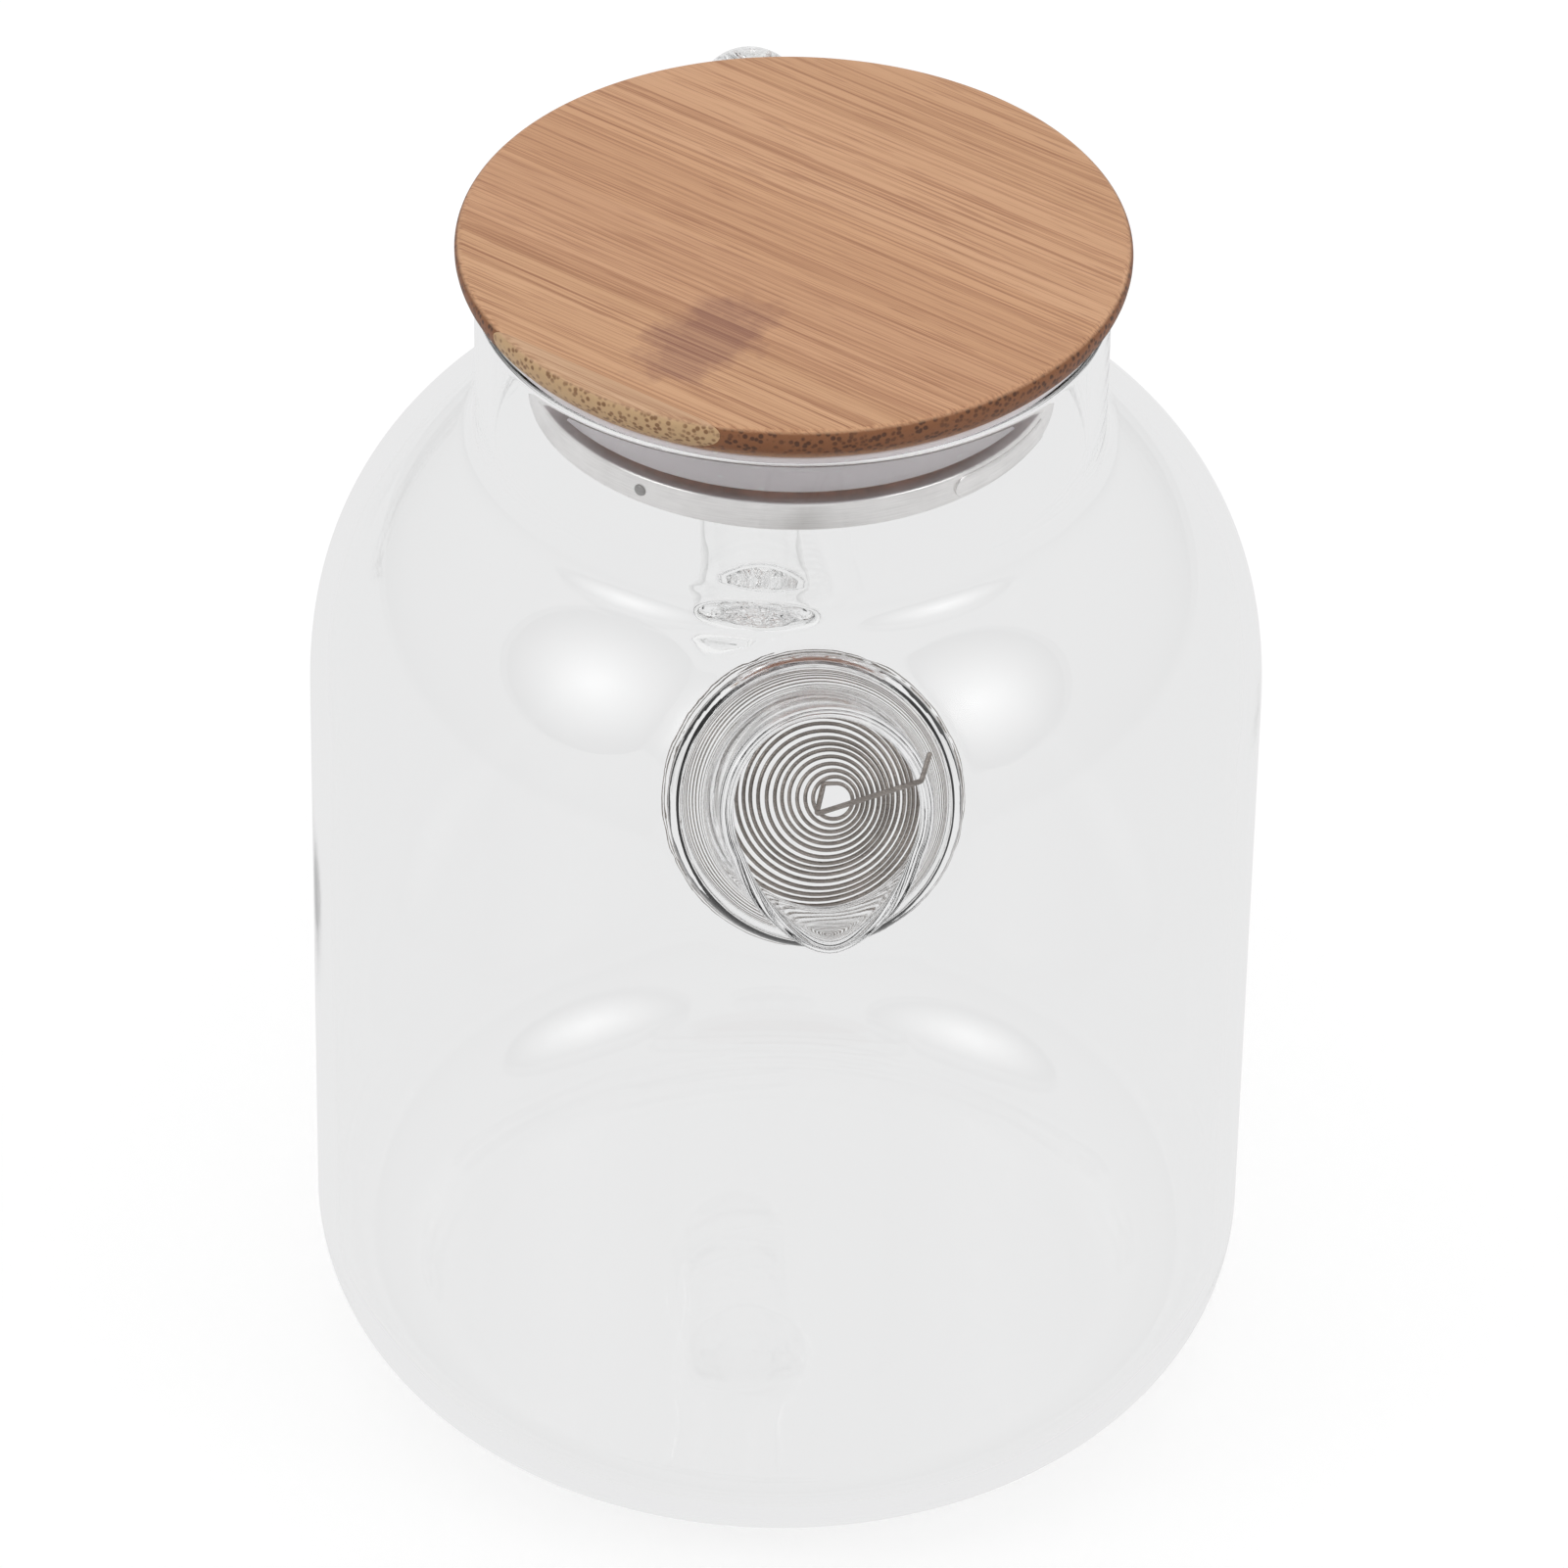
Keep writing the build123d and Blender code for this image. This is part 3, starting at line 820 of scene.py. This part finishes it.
@dataclass
class GlassJug:
    """Blown body, spout and handle, melted into one piece of glass; millimetres."""

    shape: SpoutShape
    radius: float = 65.0
    wall: float = 2.5
    floor: float = 3.5
    corner: float = 22.0
    straight_top: float = 108.0
    dome: float = 51.2
    power: float = 2.38
    neck_radius: float = 42.4
    rim_z: float = 174.4
    handle_radius: float = 7.8
    handle_wall: float = 2.4
    handle_flare: float = 1.7
    handle_flare_length: float = 3.2
    handle_bury: float = 9.0
    handle_bite: float = 1.2
    upper_weld_radius: float = 54.5
    handle_bend: float = 18.0
    handle_slope: float = 14.5
    upper_root: Point2 = (59.0, 137.17)
    grip_y: float = 104.0
    lower_arm_z: float = 72.5
    mould_ring: float = 18.0
    mould_ring_width: float = 0.6
    mould_ring_depth: float = 0.22
    spout_back: float = 13.0
    weld_overlap: float = 0.35
    bore_clearance: float = 0.6
    seam_reach: float = 3.6
    seam_rounds: int = 10
    facets: int = 256

    def dome_curve(self, radius: float, height: float, throat: float, steps: int = 44) -> list[Point2]:
        """Shoulder profile from the straight wall up to the throat."""
        last = math.acos((throat / radius) ** (self.power / 2))
        curve = []
        for i in range(steps + 1):
            a = last * (i / steps)
            curve.append(
                (
                    radius * math.cos(a) ** (2 / self.power),
                    self.straight_top + height * math.sin(a) ** (2 / self.power),
                )
            )
        return curve

    def outer_profile(self) -> list[Point2]:
        """Outside of the jug, from the base's centre to the rim."""
        ring, width = self.mould_ring, self.mould_ring_width
        base = [(0.0, 0.0), (14.0, 0.0), (ring - width, 0.0), (ring, self.mould_ring_depth)]
        base += [(ring + width, 0.0), (24.0, 0.0), (34.0, 0.0)]
        round_base = arc((self.radius - self.corner, self.corner), self.corner, -90, 0, 24)
        wall = [(self.radius, z) for z in np.linspace(self.corner + 3, self.straight_top - 3, 26)]
        curve = self.dome_curve(self.radius, self.dome, self.neck_radius)
        profile = base + round_base + wall + curve
        crease = len(profile) - 1
        neck = [(self.neck_radius, z) for z in np.linspace(curve[-1][1] + 1.2, self.rim_z, 16)]
        return soften(profile + neck, {crease: 3.2}, 12)

    def inner_profile(self, offset: float = 0.0) -> list[Point2]:
        """Inside of the jug, from the floor's centre to the rim.

        Args:
            offset: How far the surface is moved out into the wall.

        Returns:
            The profile in millimetres.
        """
        inset = self.wall - offset
        floor = self.floor - offset
        corner = self.corner - inset - 1.0
        radius = self.radius - inset
        throat = self.neck_radius - inset
        base = [(0.0, floor), (12.0, floor), (24.0, floor), (36.0, floor)]
        round_base = arc((radius - corner, floor + corner), corner, -90, 0, 24)
        wall = [(radius, z) for z in np.linspace(self.corner + 3, self.straight_top - 3, 26)]
        curve = self.dome_curve(radius, self.dome - inset, throat)
        profile = base + round_base + wall + curve
        crease = len(profile) - 1
        neck = [(throat, z) for z in np.linspace(curve[-1][1] + 1.2, self.rim_z, 16)]
        return soften(profile + neck, {crease: 5.0}, 12)

    def wall_solid(self) -> Piece:
        """Body and neck as one turned wall with a fire-polished rim."""
        outside, inside = self.outer_profile(), self.inner_profile()
        profile = outside + inside[::-1]
        corners = {len(outside) - 1: 1.0, len(outside): 1.0}
        return lathe("jug_glass", soften(profile, corners, 6), self.facets)

    def cavity(self, offset: float) -> Piece:
        """Solid of the space inside the jug, grown into the wall by an offset."""
        inside = self.inner_profile(offset)
        top = self.rim_z + 4
        return lathe("cavity", inside + [(inside[-1][0], top), (0.0, top)], self.facets)

    def outside(self) -> Piece:
        """Solid of everything inside the jug's outer surface."""
        profile = self.outer_profile()
        return lathe("outside", profile + [(0.0, self.rim_z)], self.facets)

    def spout_tube(self) -> Piece:
        """Spout wall with a rounded mouth, running back through the jug's wall."""
        s = self.shape
        bead = s.wall / 2
        back = self.spout_back
        stations = [(d, 0.0) for d in np.linspace(-back, s.length - bead, 46)]
        for a in np.linspace(0, math.pi, 11)[1:-1]:
            stations.append((s.length - bead + bead * math.sin(a), bead * (1 - math.cos(a))))
        stations += [(d, s.wall) for d in np.linspace(s.length - bead, -back, 46)]
        return self.ringed("spout_tube", stations, True)

    def spout_bore(self) -> Piece:
        """Solid that opens the jug's wall behind the spout, a little wider than its bore."""
        s = self.shape
        stations = [(d, s.wall - self.bore_clearance) for d in np.linspace(-16, 8, 20)]
        return self.ringed("spout_bore", stations, False)

    def ringed(self, name: str, stations: Sequence[Point2], closed: bool) -> Piece:
        """Skin over rings of the spout's outline.

        Args:
            name: Object name.
            stations: (distance out, inset) of each ring.
            closed: Whether the last ring joins the first; otherwise both ends are capped.

        Returns:
            A closed mesh object.
        """
        around = 144
        verts = []
        for out, inset in stations:
            for i in range(around):
                angle = 360 * i / around - 180
                r = self.shape.radius(out, angle, inset)
                a = math.radians(angle)
                verts.append(self.shape.place(r * math.sin(a), -r * math.cos(a), out))
        faces: list[tuple[int, ...]] = list(grid_faces(len(stations), around, closed))
        if not closed:
            faces.append(tuple(range(around)))
            faces.append(tuple(range((len(stations) - 1) * around, len(stations) * around)))
        piece = mesh_object(name, verts, faces)
        face_outwards(piece)
        return piece

    def handle_path(self, bury: float) -> np.ndarray:
        """Centre line of the handle, from inside the shoulder to inside the wall."""
        slope = math.tan(math.radians(self.handle_slope))
        root_y, root_z = self.upper_root
        corners = [
            (0, root_y - bury, root_z - bury * slope),
            (0, self.grip_y, root_z + (self.grip_y - root_y) * slope),
            (0, self.grip_y, self.lower_arm_z),
            (0, self.radius - bury, self.lower_arm_z),
        ]
        return rounded_route(corners, self.handle_bend, 0.9)

    def handle_solid(self) -> Piece:
        """Handle bar, flared where it is melted to the jug."""
        path = self.handle_path(self.handle_bury)
        reach = np.hypot(path[:, 0], path[:, 1])
        upper = np.clip(reach - self.upper_weld_radius, 0, None)
        lower = np.clip(reach - self.radius, 0, None)
        gap = np.where(path[:, 2] > self.straight_top, upper, lower)
        radius = self.handle_radius + self.handle_flare * np.exp(-gap / self.handle_flare_length)
        return tube("handle_bar", path, radius, 56)

    def handle_bore(self) -> Piece:
        """Air space of the hollow handle."""
        path = self.handle_path(self.handle_bury)
        return tube("handle_bore", path, np.full(len(path), self.handle_radius - self.handle_wall), 48)

    def build(self, finish: Material) -> Piece:
        """Melts the wall, spout and handle together.

        Args:
            finish: Glass material.

        Returns:
            The glass as one closed mesh.
        """
        jug = self.wall_solid()
        cut(jug, self.spout_bore(), "DIFFERENCE")
        spout = self.spout_tube()
        cut(spout, self.cavity(-self.weld_overlap), "DIFFERENCE")
        cut(jug, spout, "UNION")
        handle = self.handle_solid()
        cut(handle, self.cavity(self.handle_bite), "DIFFERENCE")
        cut(jug, handle, "UNION")
        bore = self.handle_bore()
        cut(bore, self.outside(), "DIFFERENCE")
        flow_seams(jug, self.seam_reach, self.seam_rounds)
        cut(jug, bore, "DIFFERENCE")
        face_outwards(jug)
        jug.data.shade_smooth()
        jug.name = "jug_glass"
        dress(jug, finish, Body.JAR, Slot.GLASS, "glass_body", "glass_spout", "glass_handle")
        return jug


# ---------------------------------------------------------------- strainer


@dataclass
class Strainer:
    """Coiled wire strainer in the spout; millimetres."""

    shape: SpoutShape
    wire: float = 0.52
    tail_wire: float = 0.70
    large: float = 18.1
    small: float = 2.1
    back: float = 11.8
    length: float = 25.0
    turns: float = 18.96
    start_angle: float = 103.0
    lean_side: float = 4.0
    lean_up: float = 2.0
    tail_bend: float = 0.42
    tail_turn: Point3 = (-0.9, -0.7, 17.0)
    tail_elbow: Point3 = (12.1, 3.7, 26.1)
    tail_tip: Point3 = (13.3, 7.4, 26.2)

    def coil(self) -> np.ndarray:
        """Centre line of the coil in spout axes, widest turn first."""
        steps = int(self.turns * 72)
        t = np.linspace(0, 1, steps)
        angle = np.radians(self.start_angle) + 2 * math.pi * self.turns * t
        spread = 0.10 * np.sin(5.0 * angle / (2 * math.pi)) * np.sin(math.pi * t)
        r = self.large + (self.small - self.large) * t + spread
        z = -self.back + self.length * t
        side = math.tan(math.radians(self.lean_side)) * (z + self.back)
        up = math.tan(math.radians(self.lean_up)) * (z + self.back)
        return np.stack([r * np.cos(angle) + side, r * np.sin(angle) + up, z], axis=1)

    def path(self) -> tuple[np.ndarray, int]:
        """Whole wire in the shared frame, and how many of its points are the coil's."""
        coil = self.coil()
        end, before = coil[-1], coil[-2]
        heading = (end - before) / np.linalg.norm(end - before)
        corners = [end, end + heading * 1.5, self.tail_turn, self.tail_elbow, self.tail_tip]
        tail = rounded_route(corners, self.tail_bend, 0.12)
        line = np.vstack([coil, tail[1:]])
        return np.array([self.shape.place(*p) for p in line]), len(coil)

    def build(self, finish: Material) -> Piece:
        """Makes the wire.

        Args:
            finish: Wire material.

        Returns:
            The strainer as one mesh.
        """
        path, coiled = self.path()
        radius = np.full(len(path), self.wire / 2)
        # The tail is a little thicker than the coil, and its free end is rounded.
        growth = np.clip((np.arange(len(path)) - coiled) / 20.0, 0, 1)
        radius += growth * (self.tail_wire - self.wire) / 2
        left = np.linalg.norm(path - path[-1], axis=1) / (self.tail_wire / 2)
        left[:coiled] = 1.0
        radius *= np.sqrt(1 - (1 - np.clip(left, 0.02, 1)) ** 2)
        radius[0] = self.wire * 0.3
        piece = tube("spout_strainer_wire", path, radius, 12)
        dress(piece, finish, Body.JAR, Slot.WIRE, "spout_strainer")
        return piece


# ---------------------------------------------------------------- lid


@dataclass
class LidBoard:
    """Bamboo disc of glued staves; millimetres."""

    radius: float = 45.0
    foot_radius: float = 42.0
    low_z: float = 175.5
    high_z: float = 181.5
    top_round: float = 1.2
    bulge: float = 0.8
    grain_angle: float = -40.0
    joints: tuple[float, ...] = (-41.0, -23.3, -7.5, 8.2, 27.7)
    facets: int = 384

    def profile(self) -> list[Point2]:
        """Section of the disc, from the middle of its underside to the middle of its top."""
        low, high = self.low_z, self.high_z
        points = [(r, low) for r in np.linspace(0, self.foot_radius, 12)]
        for t in np.linspace(0, 1, 9)[1:]:
            r = self.foot_radius + (self.radius - self.foot_radius) * t + self.bulge * 4 * t * (1 - t)
            points.append((r, low + (high - self.top_round - low) * t))
        points += arc((self.radius - self.top_round, high - self.top_round), self.top_round, 0, 90, 8)[1:]
        points += [(r, high) for r in np.linspace(self.radius - self.top_round, 0, 14)[1:]]
        return soften(points, {11: 0.5}, 4)

    def stave(self, number: int, low: float, high: float) -> Piece:
        """One stave, cut from the disc between two glue lines.

        Args:
            number: Stave number, from the front left.
            low: Lower glue line, across the grain.
            high: Upper glue line.

        Returns:
            The stave's mesh object.
        """
        piece = lathe(f"lid_board_stave_{number}", self.profile(), self.facets)
        a = math.radians(self.grain_angle)
        across = Vector((-math.sin(a), math.cos(a), 0))
        mesh = bmesh.new()
        mesh.from_mesh(piece.data)
        for place, sign in ((low, -1), (high, 1)):
            if abs(place) < self.radius:
                sliced = bmesh.ops.bisect_plane(
                    mesh,
                    geom=mesh.verts[:] + mesh.edges[:] + mesh.faces[:],
                    dist=1e-7,
                    plane_co=across * place * MM,
                    plane_no=across * sign,
                    clear_outer=True,
                )
                edges = [g for g in sliced["geom_cut"] if isinstance(g, bmesh.types.BMEdge)]
                bmesh.ops.edgeloop_fill(mesh, edges=edges)
        bmesh.ops.recalc_face_normals(mesh, faces=mesh.faces)
        mesh.to_mesh(piece.data)
        mesh.free()
        piece.data.shade_smooth()
        piece.data.set_sharp_from_angle(angle=math.radians(50))
        return piece

    def build(self, finishes: Sequence[Material]) -> list[Piece]:
        """Cuts and dresses every stave.

        Args:
            finishes: One bamboo material per stave.

        Returns:
            The staves in order across the grain.
        """
        limits = [-self.radius - 1, *self.joints, self.radius + 1]
        staves = []
        for number, (low, high) in enumerate(zip(limits, limits[1:]), start=1):
            piece = self.stave(number, low, high)
            slot = Slot.BAMBOO_EDGE if number == 1 else Slot.BAMBOO
            dress(piece, finishes[number - 1], Body.LID, slot, f"lid_stave_{number}")
            staves.append(piece)
        return staves


@dataclass
class StopperFoot:
    """Plug, retaining ring and pins under the board; millimetres."""

    plug_radius: float = 32.4
    plug_chamfer: float = 1.0
    board_z: float = 175.5
    ring_radius: float = 35.3
    ring_low: float = 159.6
    ring_height: float = 4.3
    ring_floor: float = 2.0
    sheet: float = 0.6
    lap_angle: float = 33.0
    lap_sweep: float = 30.0
    lap_thickness: float = 0.35
    lap_margin: float = 0.6
    pin_angle: float = -37.0
    pin_head: float = 0.85
    pin_height: float = 0.45
    pin_shank: float = 0.45
    pin_length: float = 6.9

    def plug(self) -> Piece:
        """Turned foot that carries the seal and the ring."""
        low = self.ring_low + self.sheet
        c = self.plug_chamfer
        points = [(r, low) for r in np.linspace(0, self.plug_radius - c, 10)]
        points += [(self.plug_radius, low + c), (self.plug_radius, self.board_z), (0, self.board_z)]
        piece = lathe("stopper_plug", soften(points, {9: 0.4, 10: 0.4}, 4), 256)
        piece.data.set_sharp_from_angle(angle=math.radians(50))
        return piece

    def ring(self) -> Piece:
        """Rolled band with a turned-in top and a cupped floor."""
        low, high, r, t = self.ring_low, self.ring_low + self.ring_height, self.ring_radius, self.sheet
        lip = self.plug_radius - self.plug_chamfer - self.ring_floor
        points = [
            (lip, low), (r, low), (r, high), (self.plug_radius, high),
            (self.plug_radius, high - t), (r - t, high - t), (r - t, low + t), (lip, low + t),
        ]
        band = lathe("stopper_ring", soften(points, {1: 0.5, 2: 0.5, 5: 0.2, 6: 0.2}, 5), 320, ring=True)
        band.data.set_sharp_from_angle(angle=math.radians(40))
        return band

    def lap(self) -> Piece:
        """Overlapping end of the band: a thin curved tongue with rounded corners."""
        low, high = self.ring_low + self.lap_margin, self.ring_low + self.ring_height - self.lap_margin
        half, middle = (high - low) / 2, (high + low) / 2
        inner, outer = self.ring_radius - self.sheet / 2, self.ring_radius + self.lap_thickness
        arc_length = math.radians(self.lap_sweep) * outer
        columns, rows = 90, 13
        verts = []
        for radius in (inner, outer):
            for i in range(columns):
                s = arc_length * i / (columns - 1)
                nose = half * math.sqrt(max(0.0, 1 - (1 - s / half) ** 2)) if s < half else half
                nose = max(nose, 0.05)
                a = math.radians(self.lap_angle - 90) + s / outer
                for k in range(rows):
                    v = 2 * k / (rows - 1) - 1
                    edge = 1 - 0.6 * max(0.0, (abs(v) - 0.8) / 0.2) ** 2 * (self.lap_thickness / outer)
                    reach = radius * edge
                    verts.append((reach * math.cos(a), reach * math.sin(a), middle + nose * v))
        faces = []
        layer = columns * rows
        for i in range(columns - 1):
            for k in range(rows - 1):
                p = i * rows + k
                faces.append((p, p + rows, p + rows + 1, p + 1))
                faces.append((layer + p, layer + p + 1, layer + p + rows + 1, layer + p + rows))
            for k in (0, rows - 1):
                p = i * rows + k
                faces.append((p, layer + p, layer + p + rows, p + rows))
        for i in (0, columns - 1):
            for k in range(rows - 1):
                p = i * rows + k
                faces.append((p, p + 1, layer + p + 1, layer + p))
        piece = mesh_object("ring_lap", verts, faces)
        face_outwards(piece)
        piece.data.set_sharp_from_angle(angle=math.radians(40))
        return piece

    def pins(self) -> Piece:
        """Three domed pin heads with their shanks, as one object."""
        h, head, shank, length = self.pin_height, self.pin_head, self.pin_shank, self.pin_length
        dome = [(head * math.cos(a), h * math.sin(a)) for a in np.linspace(0, math.pi / 2, 8)]
        profile = [(0.0, -length), (shank, -length), (shank, 0.0), *dome[:-1], (0.0, h)]
        joined = bmesh.new()
        for i in range(3):
            pin = lathe("pin", profile, 32)
            turn = Matrix.Rotation(math.radians(self.pin_angle - 90 + 120 * i), 4, "Z")
            middle = (self.ring_low + self.ring_height / 2) * MM
            outwards = Matrix.Translation((self.ring_radius * MM, 0, 0))
            outwards = outwards @ Matrix.Rotation(math.pi / 2, 4, "Y")
            place = Matrix.Translation((0, 0, middle)) @ turn @ outwards
            pin.data.transform(place)
            joined.from_mesh(pin.data)
            bpy.data.objects.remove(pin)
        piece = mesh_object("ring_pin_heads", [], [])
        joined.to_mesh(piece.data)
        joined.free()
        piece.data.shade_smooth()
        return piece

    def build(self, wood: Material, band: Material, pin: Material) -> None:
        """Makes and dresses the foot's pieces.

        Args:
            wood: Plug material.
            band: Ring material.
            pin: Pin material.
        """
        dress(self.plug(), wood, Body.LID, Slot.BAMBOO_PLUG, "lid_plug")
        dress(self.ring(), band, Body.LID, Slot.BAND, "retaining_ring")
        dress(self.lap(), band, Body.LID, Slot.BAND)
        dress(self.pins(), pin, Body.LID, Slot.PIN, "ring_pins")


@dataclass
class Seal:
    """Silicone sleeve between lid, plug and neck; millimetres."""

    bore: float = 32.48
    rim_z: float = 174.4
    depth: float = 9.0
    flange: float = 1.0
    flange_radius: float = 42.0
    lip_radius: float = 39.55
    skirt_radius: float = 34.8

    def build(self, finish: Material) -> Piece:
        """Makes the seal.

        Args:
            finish: Silicone material.

        Returns:
            The seal's mesh object.
        """
        z, low, lip = self.rim_z, self.rim_z - self.depth, self.lip_radius
        top, edge = z + self.flange, self.flange_radius
        points = [
            (self.bore, low), (self.skirt_radius, low), (lip - 1.6, z - 3.5), (lip, z - 2.5),
            (lip, z - 1.5), (lip - 0.8, z), (edge, z), (edge, top), (self.bore, top),
        ]
        rounding = {1: 0.4, 2: 0.5, 3: 0.4, 4: 0.4, 5: 0.3, 6: 0.3, 7: 0.3}
        piece = lathe("silicone_sleeve", soften(points, rounding, 4), 256, ring=True)
        piece.data.set_sharp_from_angle(angle=math.radians(50))
        dress(piece, finish, Body.SEAL, Slot.SILICONE, "silicone_seal")
        return piece


# ---------------------------------------------------------------- studio


@dataclass
class Studio:
    """Floor, lights and camera; metres and degrees."""

    azimuth: float = -4.0
    elevation: float = 36.96
    distance: float = 1.399
    target_z: float = 0.091
    lens: float = 233.1
    roll: float = 1.06
    seen_through: float = 0.82
    bounces: int = 24
    panel_distance: float = 2.2
    panel_centre_z: float = 0.14
    panel_radius: float = 0.95
    panel_level: float = 4.6
    left_panel: Point3 = (-0.674, -0.322, 0.665)
    right_panel: Point3 = (0.637, -0.464, 0.616)

    def floor(self) -> None:
        """Pale floor that reads white to the eye and light grey through glass."""
        low = CAD_BOX[0][2]
        size = 6000.0
        corners = [(x * size, y * size, low / MM) for x, y in ((-1, -1), (1, -1), (1, 1), (-1, 1))]
        piece = mesh_object("floor", corners, [(0, 1, 2, 3)], smooth=False)
        material, n, surface = bare_material("floor")
        path = n.add("LightPath")
        plain = n.add("BsdfDiffuse", Color=(0.8, 0.8, 0.8))
        lit = n.add("Emission", Color=(1.0, 1.0, 1.0), Strength=0.80)
        white = n.add("AddShader")
        n.put(white.inputs[0], n.add("BsdfDiffuse", Color=(0.25, 0.25, 0.25)).outputs[0])
        n.put(white.inputs[1], lit.outputs[0])
        grey = n.add("Emission", Color=(1.0, 1.0, 1.004), Strength=self.seen_through)
        through = n.math("MAXIMUM", path.outputs["Is Transmission Ray"], path.outputs["Is Glossy Ray"])
        first = n.add("MixShader", Fac=path.outputs["Is Camera Ray"])
        n.put(first.inputs[1], plain.outputs[0])
        n.put(first.inputs[2], white.outputs[0])
        second = n.add("MixShader", Fac=through)
        n.put(second.inputs[1], first.outputs[0])
        n.put(second.inputs[2], grey.outputs[0])
        n.put(surface, second.outputs[0])
        piece.data.materials.append(material)

    def world(self) -> None:
        """Even studio surround: white to the camera, soft grey for light, darker low down."""
        world = bpy.data.worlds.new("studio")
        bpy.context.scene.world = world
        world.use_nodes = True
        world.node_tree.nodes.clear()
        n = Nodes(world.node_tree)
        output = n.add("OutputWorld")
        path = n.add("LightPath")
        height = n.add("SeparateXYZ", Vector=n.add("TexCoord").outputs["Generated"]).outputs[2]
        level = n.ramp(n.math("MULTIPLY_ADD", height, 0.5, 0.5), [(0.50, 0.56), (0.60, 0.74), (0.80, 0.90)])
        surround = n.add("Background", Color=level, Strength=1.0)
        white = n.add("Background", Color=(1.0, 1.0, 1.0), Strength=1.0)
        choice = n.add("MixShader", Fac=path.outputs["Is Camera Ray"])
        n.put(choice.inputs[1], surround.outputs[0])
        n.put(choice.inputs[2], white.outputs[0])
        n.put(output.inputs["Surface"], choice.outputs[0])

    def panel(self, name: str, toward: Point3) -> None:
        """Round soft light whose brightness fades out towards its edge.

        Args:
            name: Object name.
            toward: Direction in which it stands, seen from the jug.
        """
        size = self.panel_radius
        heading = Vector(toward).normalized()
        turn = np.linspace(0, 2 * math.pi, 48, endpoint=False)
        disc = [(size / MM * math.cos(a), size / MM * math.sin(a), 0) for a in turn]
        piece = mesh_object(name, disc, [tuple(range(48))], smooth=False)
        material, n, surface = bare_material(name)
        middle = n.add("VectorMath", operation="LENGTH")
        n.put(middle.inputs[0], n.add("TexCoord").outputs["Object"])
        share = n.math("DIVIDE", middle.outputs["Value"], size)
        fade = n.math("POWER", n.math("MAXIMUM", n.math("SUBTRACT", 1.0, share), 0.0), 1.4)
        light = n.add("Emission", Color=(1.0, 1.0, 1.0))
        n.put(light.inputs["Strength"], n.math("MULTIPLY", fade, self.panel_level))
        n.put(surface, light.outputs[0])
        piece.data.materials.append(material)
        piece.location = heading * self.panel_distance + Vector((0, 0, self.panel_centre_z))
        piece.rotation_euler = heading.to_track_quat("Z", "Y").to_euler()

    def camera(self) -> None:
        """Long-lens camera, slightly to the left of the spout and well above it."""
        a, e = math.radians(self.azimuth), math.radians(self.elevation)
        back = Vector((math.sin(a) * math.cos(e), -math.cos(a) * math.cos(e), math.sin(e)))
        data = bpy.data.cameras.new("camera")
        data.lens = self.lens
        data.sensor_width = 36.0
        data.clip_start = 0.05
        piece = bpy.data.objects.new("camera", data)
        bpy.context.scene.collection.objects.link(piece)
        piece.location = back * self.distance + Vector((0, 0, self.target_z))
        aim = (-back).to_track_quat("-Z", "Y").to_matrix().to_4x4()
        turn = aim @ Matrix.Rotation(math.radians(self.roll), 4, "Z")
        piece.rotation_euler = turn.to_euler()
        bpy.context.scene.camera = piece

    def build(self) -> None:
        """Sets the whole studio up."""
        self.camera()
        self.floor()
        self.world()
        self.panel("left_softbox", self.left_panel)
        self.panel("right_softbox", self.right_panel)
        scene = bpy.context.scene
        scene.view_settings.view_transform = "Standard"
        scene.cycles.max_bounces = self.bounces
        scene.cycles.transmission_bounces = self.bounces
        scene.cycles.glossy_bounces = self.bounces


def lid_finishes(effects: Effects) -> list[Material]:
    """Bamboo finish of each stave, front left first."""
    pale = BambooFinish(
        "bamboo_stave_1",
        pale=(0.66, 0.42, 0.26),
        mid=(0.57, 0.34, 0.20),
        dark=(0.40, 0.20, 0.11),
        cut_end=(0.56, 0.37, 0.20),
        pore=(0.24, 0.12, 0.055),
        offset=0.31,
    )
    staves = [pale]
    tones = [
        ((0.669, 0.386, 0.220), (0.560, 0.303, 0.163)),
        ((0.649, 0.363, 0.208), (0.541, 0.285, 0.155)),
        ((0.644, 0.358, 0.199), (0.536, 0.281, 0.151)),
        ((0.688, 0.396, 0.230), (0.590, 0.321, 0.177)),
        ((0.649, 0.368, 0.208), (0.550, 0.295, 0.159)),
    ]
    for i, (bright, mid) in enumerate(tones, start=2):
        marked = i in (2, 3)
        staves.append(BambooFinish(f"bamboo_stave_{i}", bright, mid, offset=0.13 * i, node_mark=marked))
    return [s.make(effects) for s in staves]


def main() -> None:
    """Builds every piece in order."""
    logging.basicConfig(level=logging.INFO, format="%(name)s: %(message)s")
    effects = Effects.build()
    shape = SpoutShape()
    Studio().build()
    GlassJug(shape).build(GlassFinish().make(effects))
    wire = SteelFinish("steel_wire", (0.38, 0.345, 0.32), (0.21, 0.19, 0.175), 0.25, 0.0)
    Strainer(shape).build(wire.make(effects))
    LidBoard().build(lid_finishes(effects))
    # Painted shade: the plug's tones are darker and redder than the board's bamboo, standing in for the
    # shade it sits in under the board and seal.
    plug = BambooFinish(
        "bamboo_plug",
        pale=(0.52, 0.27, 0.18),
        mid=(0.44, 0.21, 0.14),
        dark=(0.24, 0.10, 0.07),
        cut_end=(0.46, 0.21, 0.13),
    )
    StopperFoot().build(
        plug.make(effects),
        SteelFinish("steel_band").make(effects),
        SteelFinish("steel_pin", (0.42, 0.41, 0.40), (0.25, 0.24, 0.24)).make(effects),
    )
    Seal().build(SiliconeFinish().make(effects))


if __name__ == "__main__":
    main()
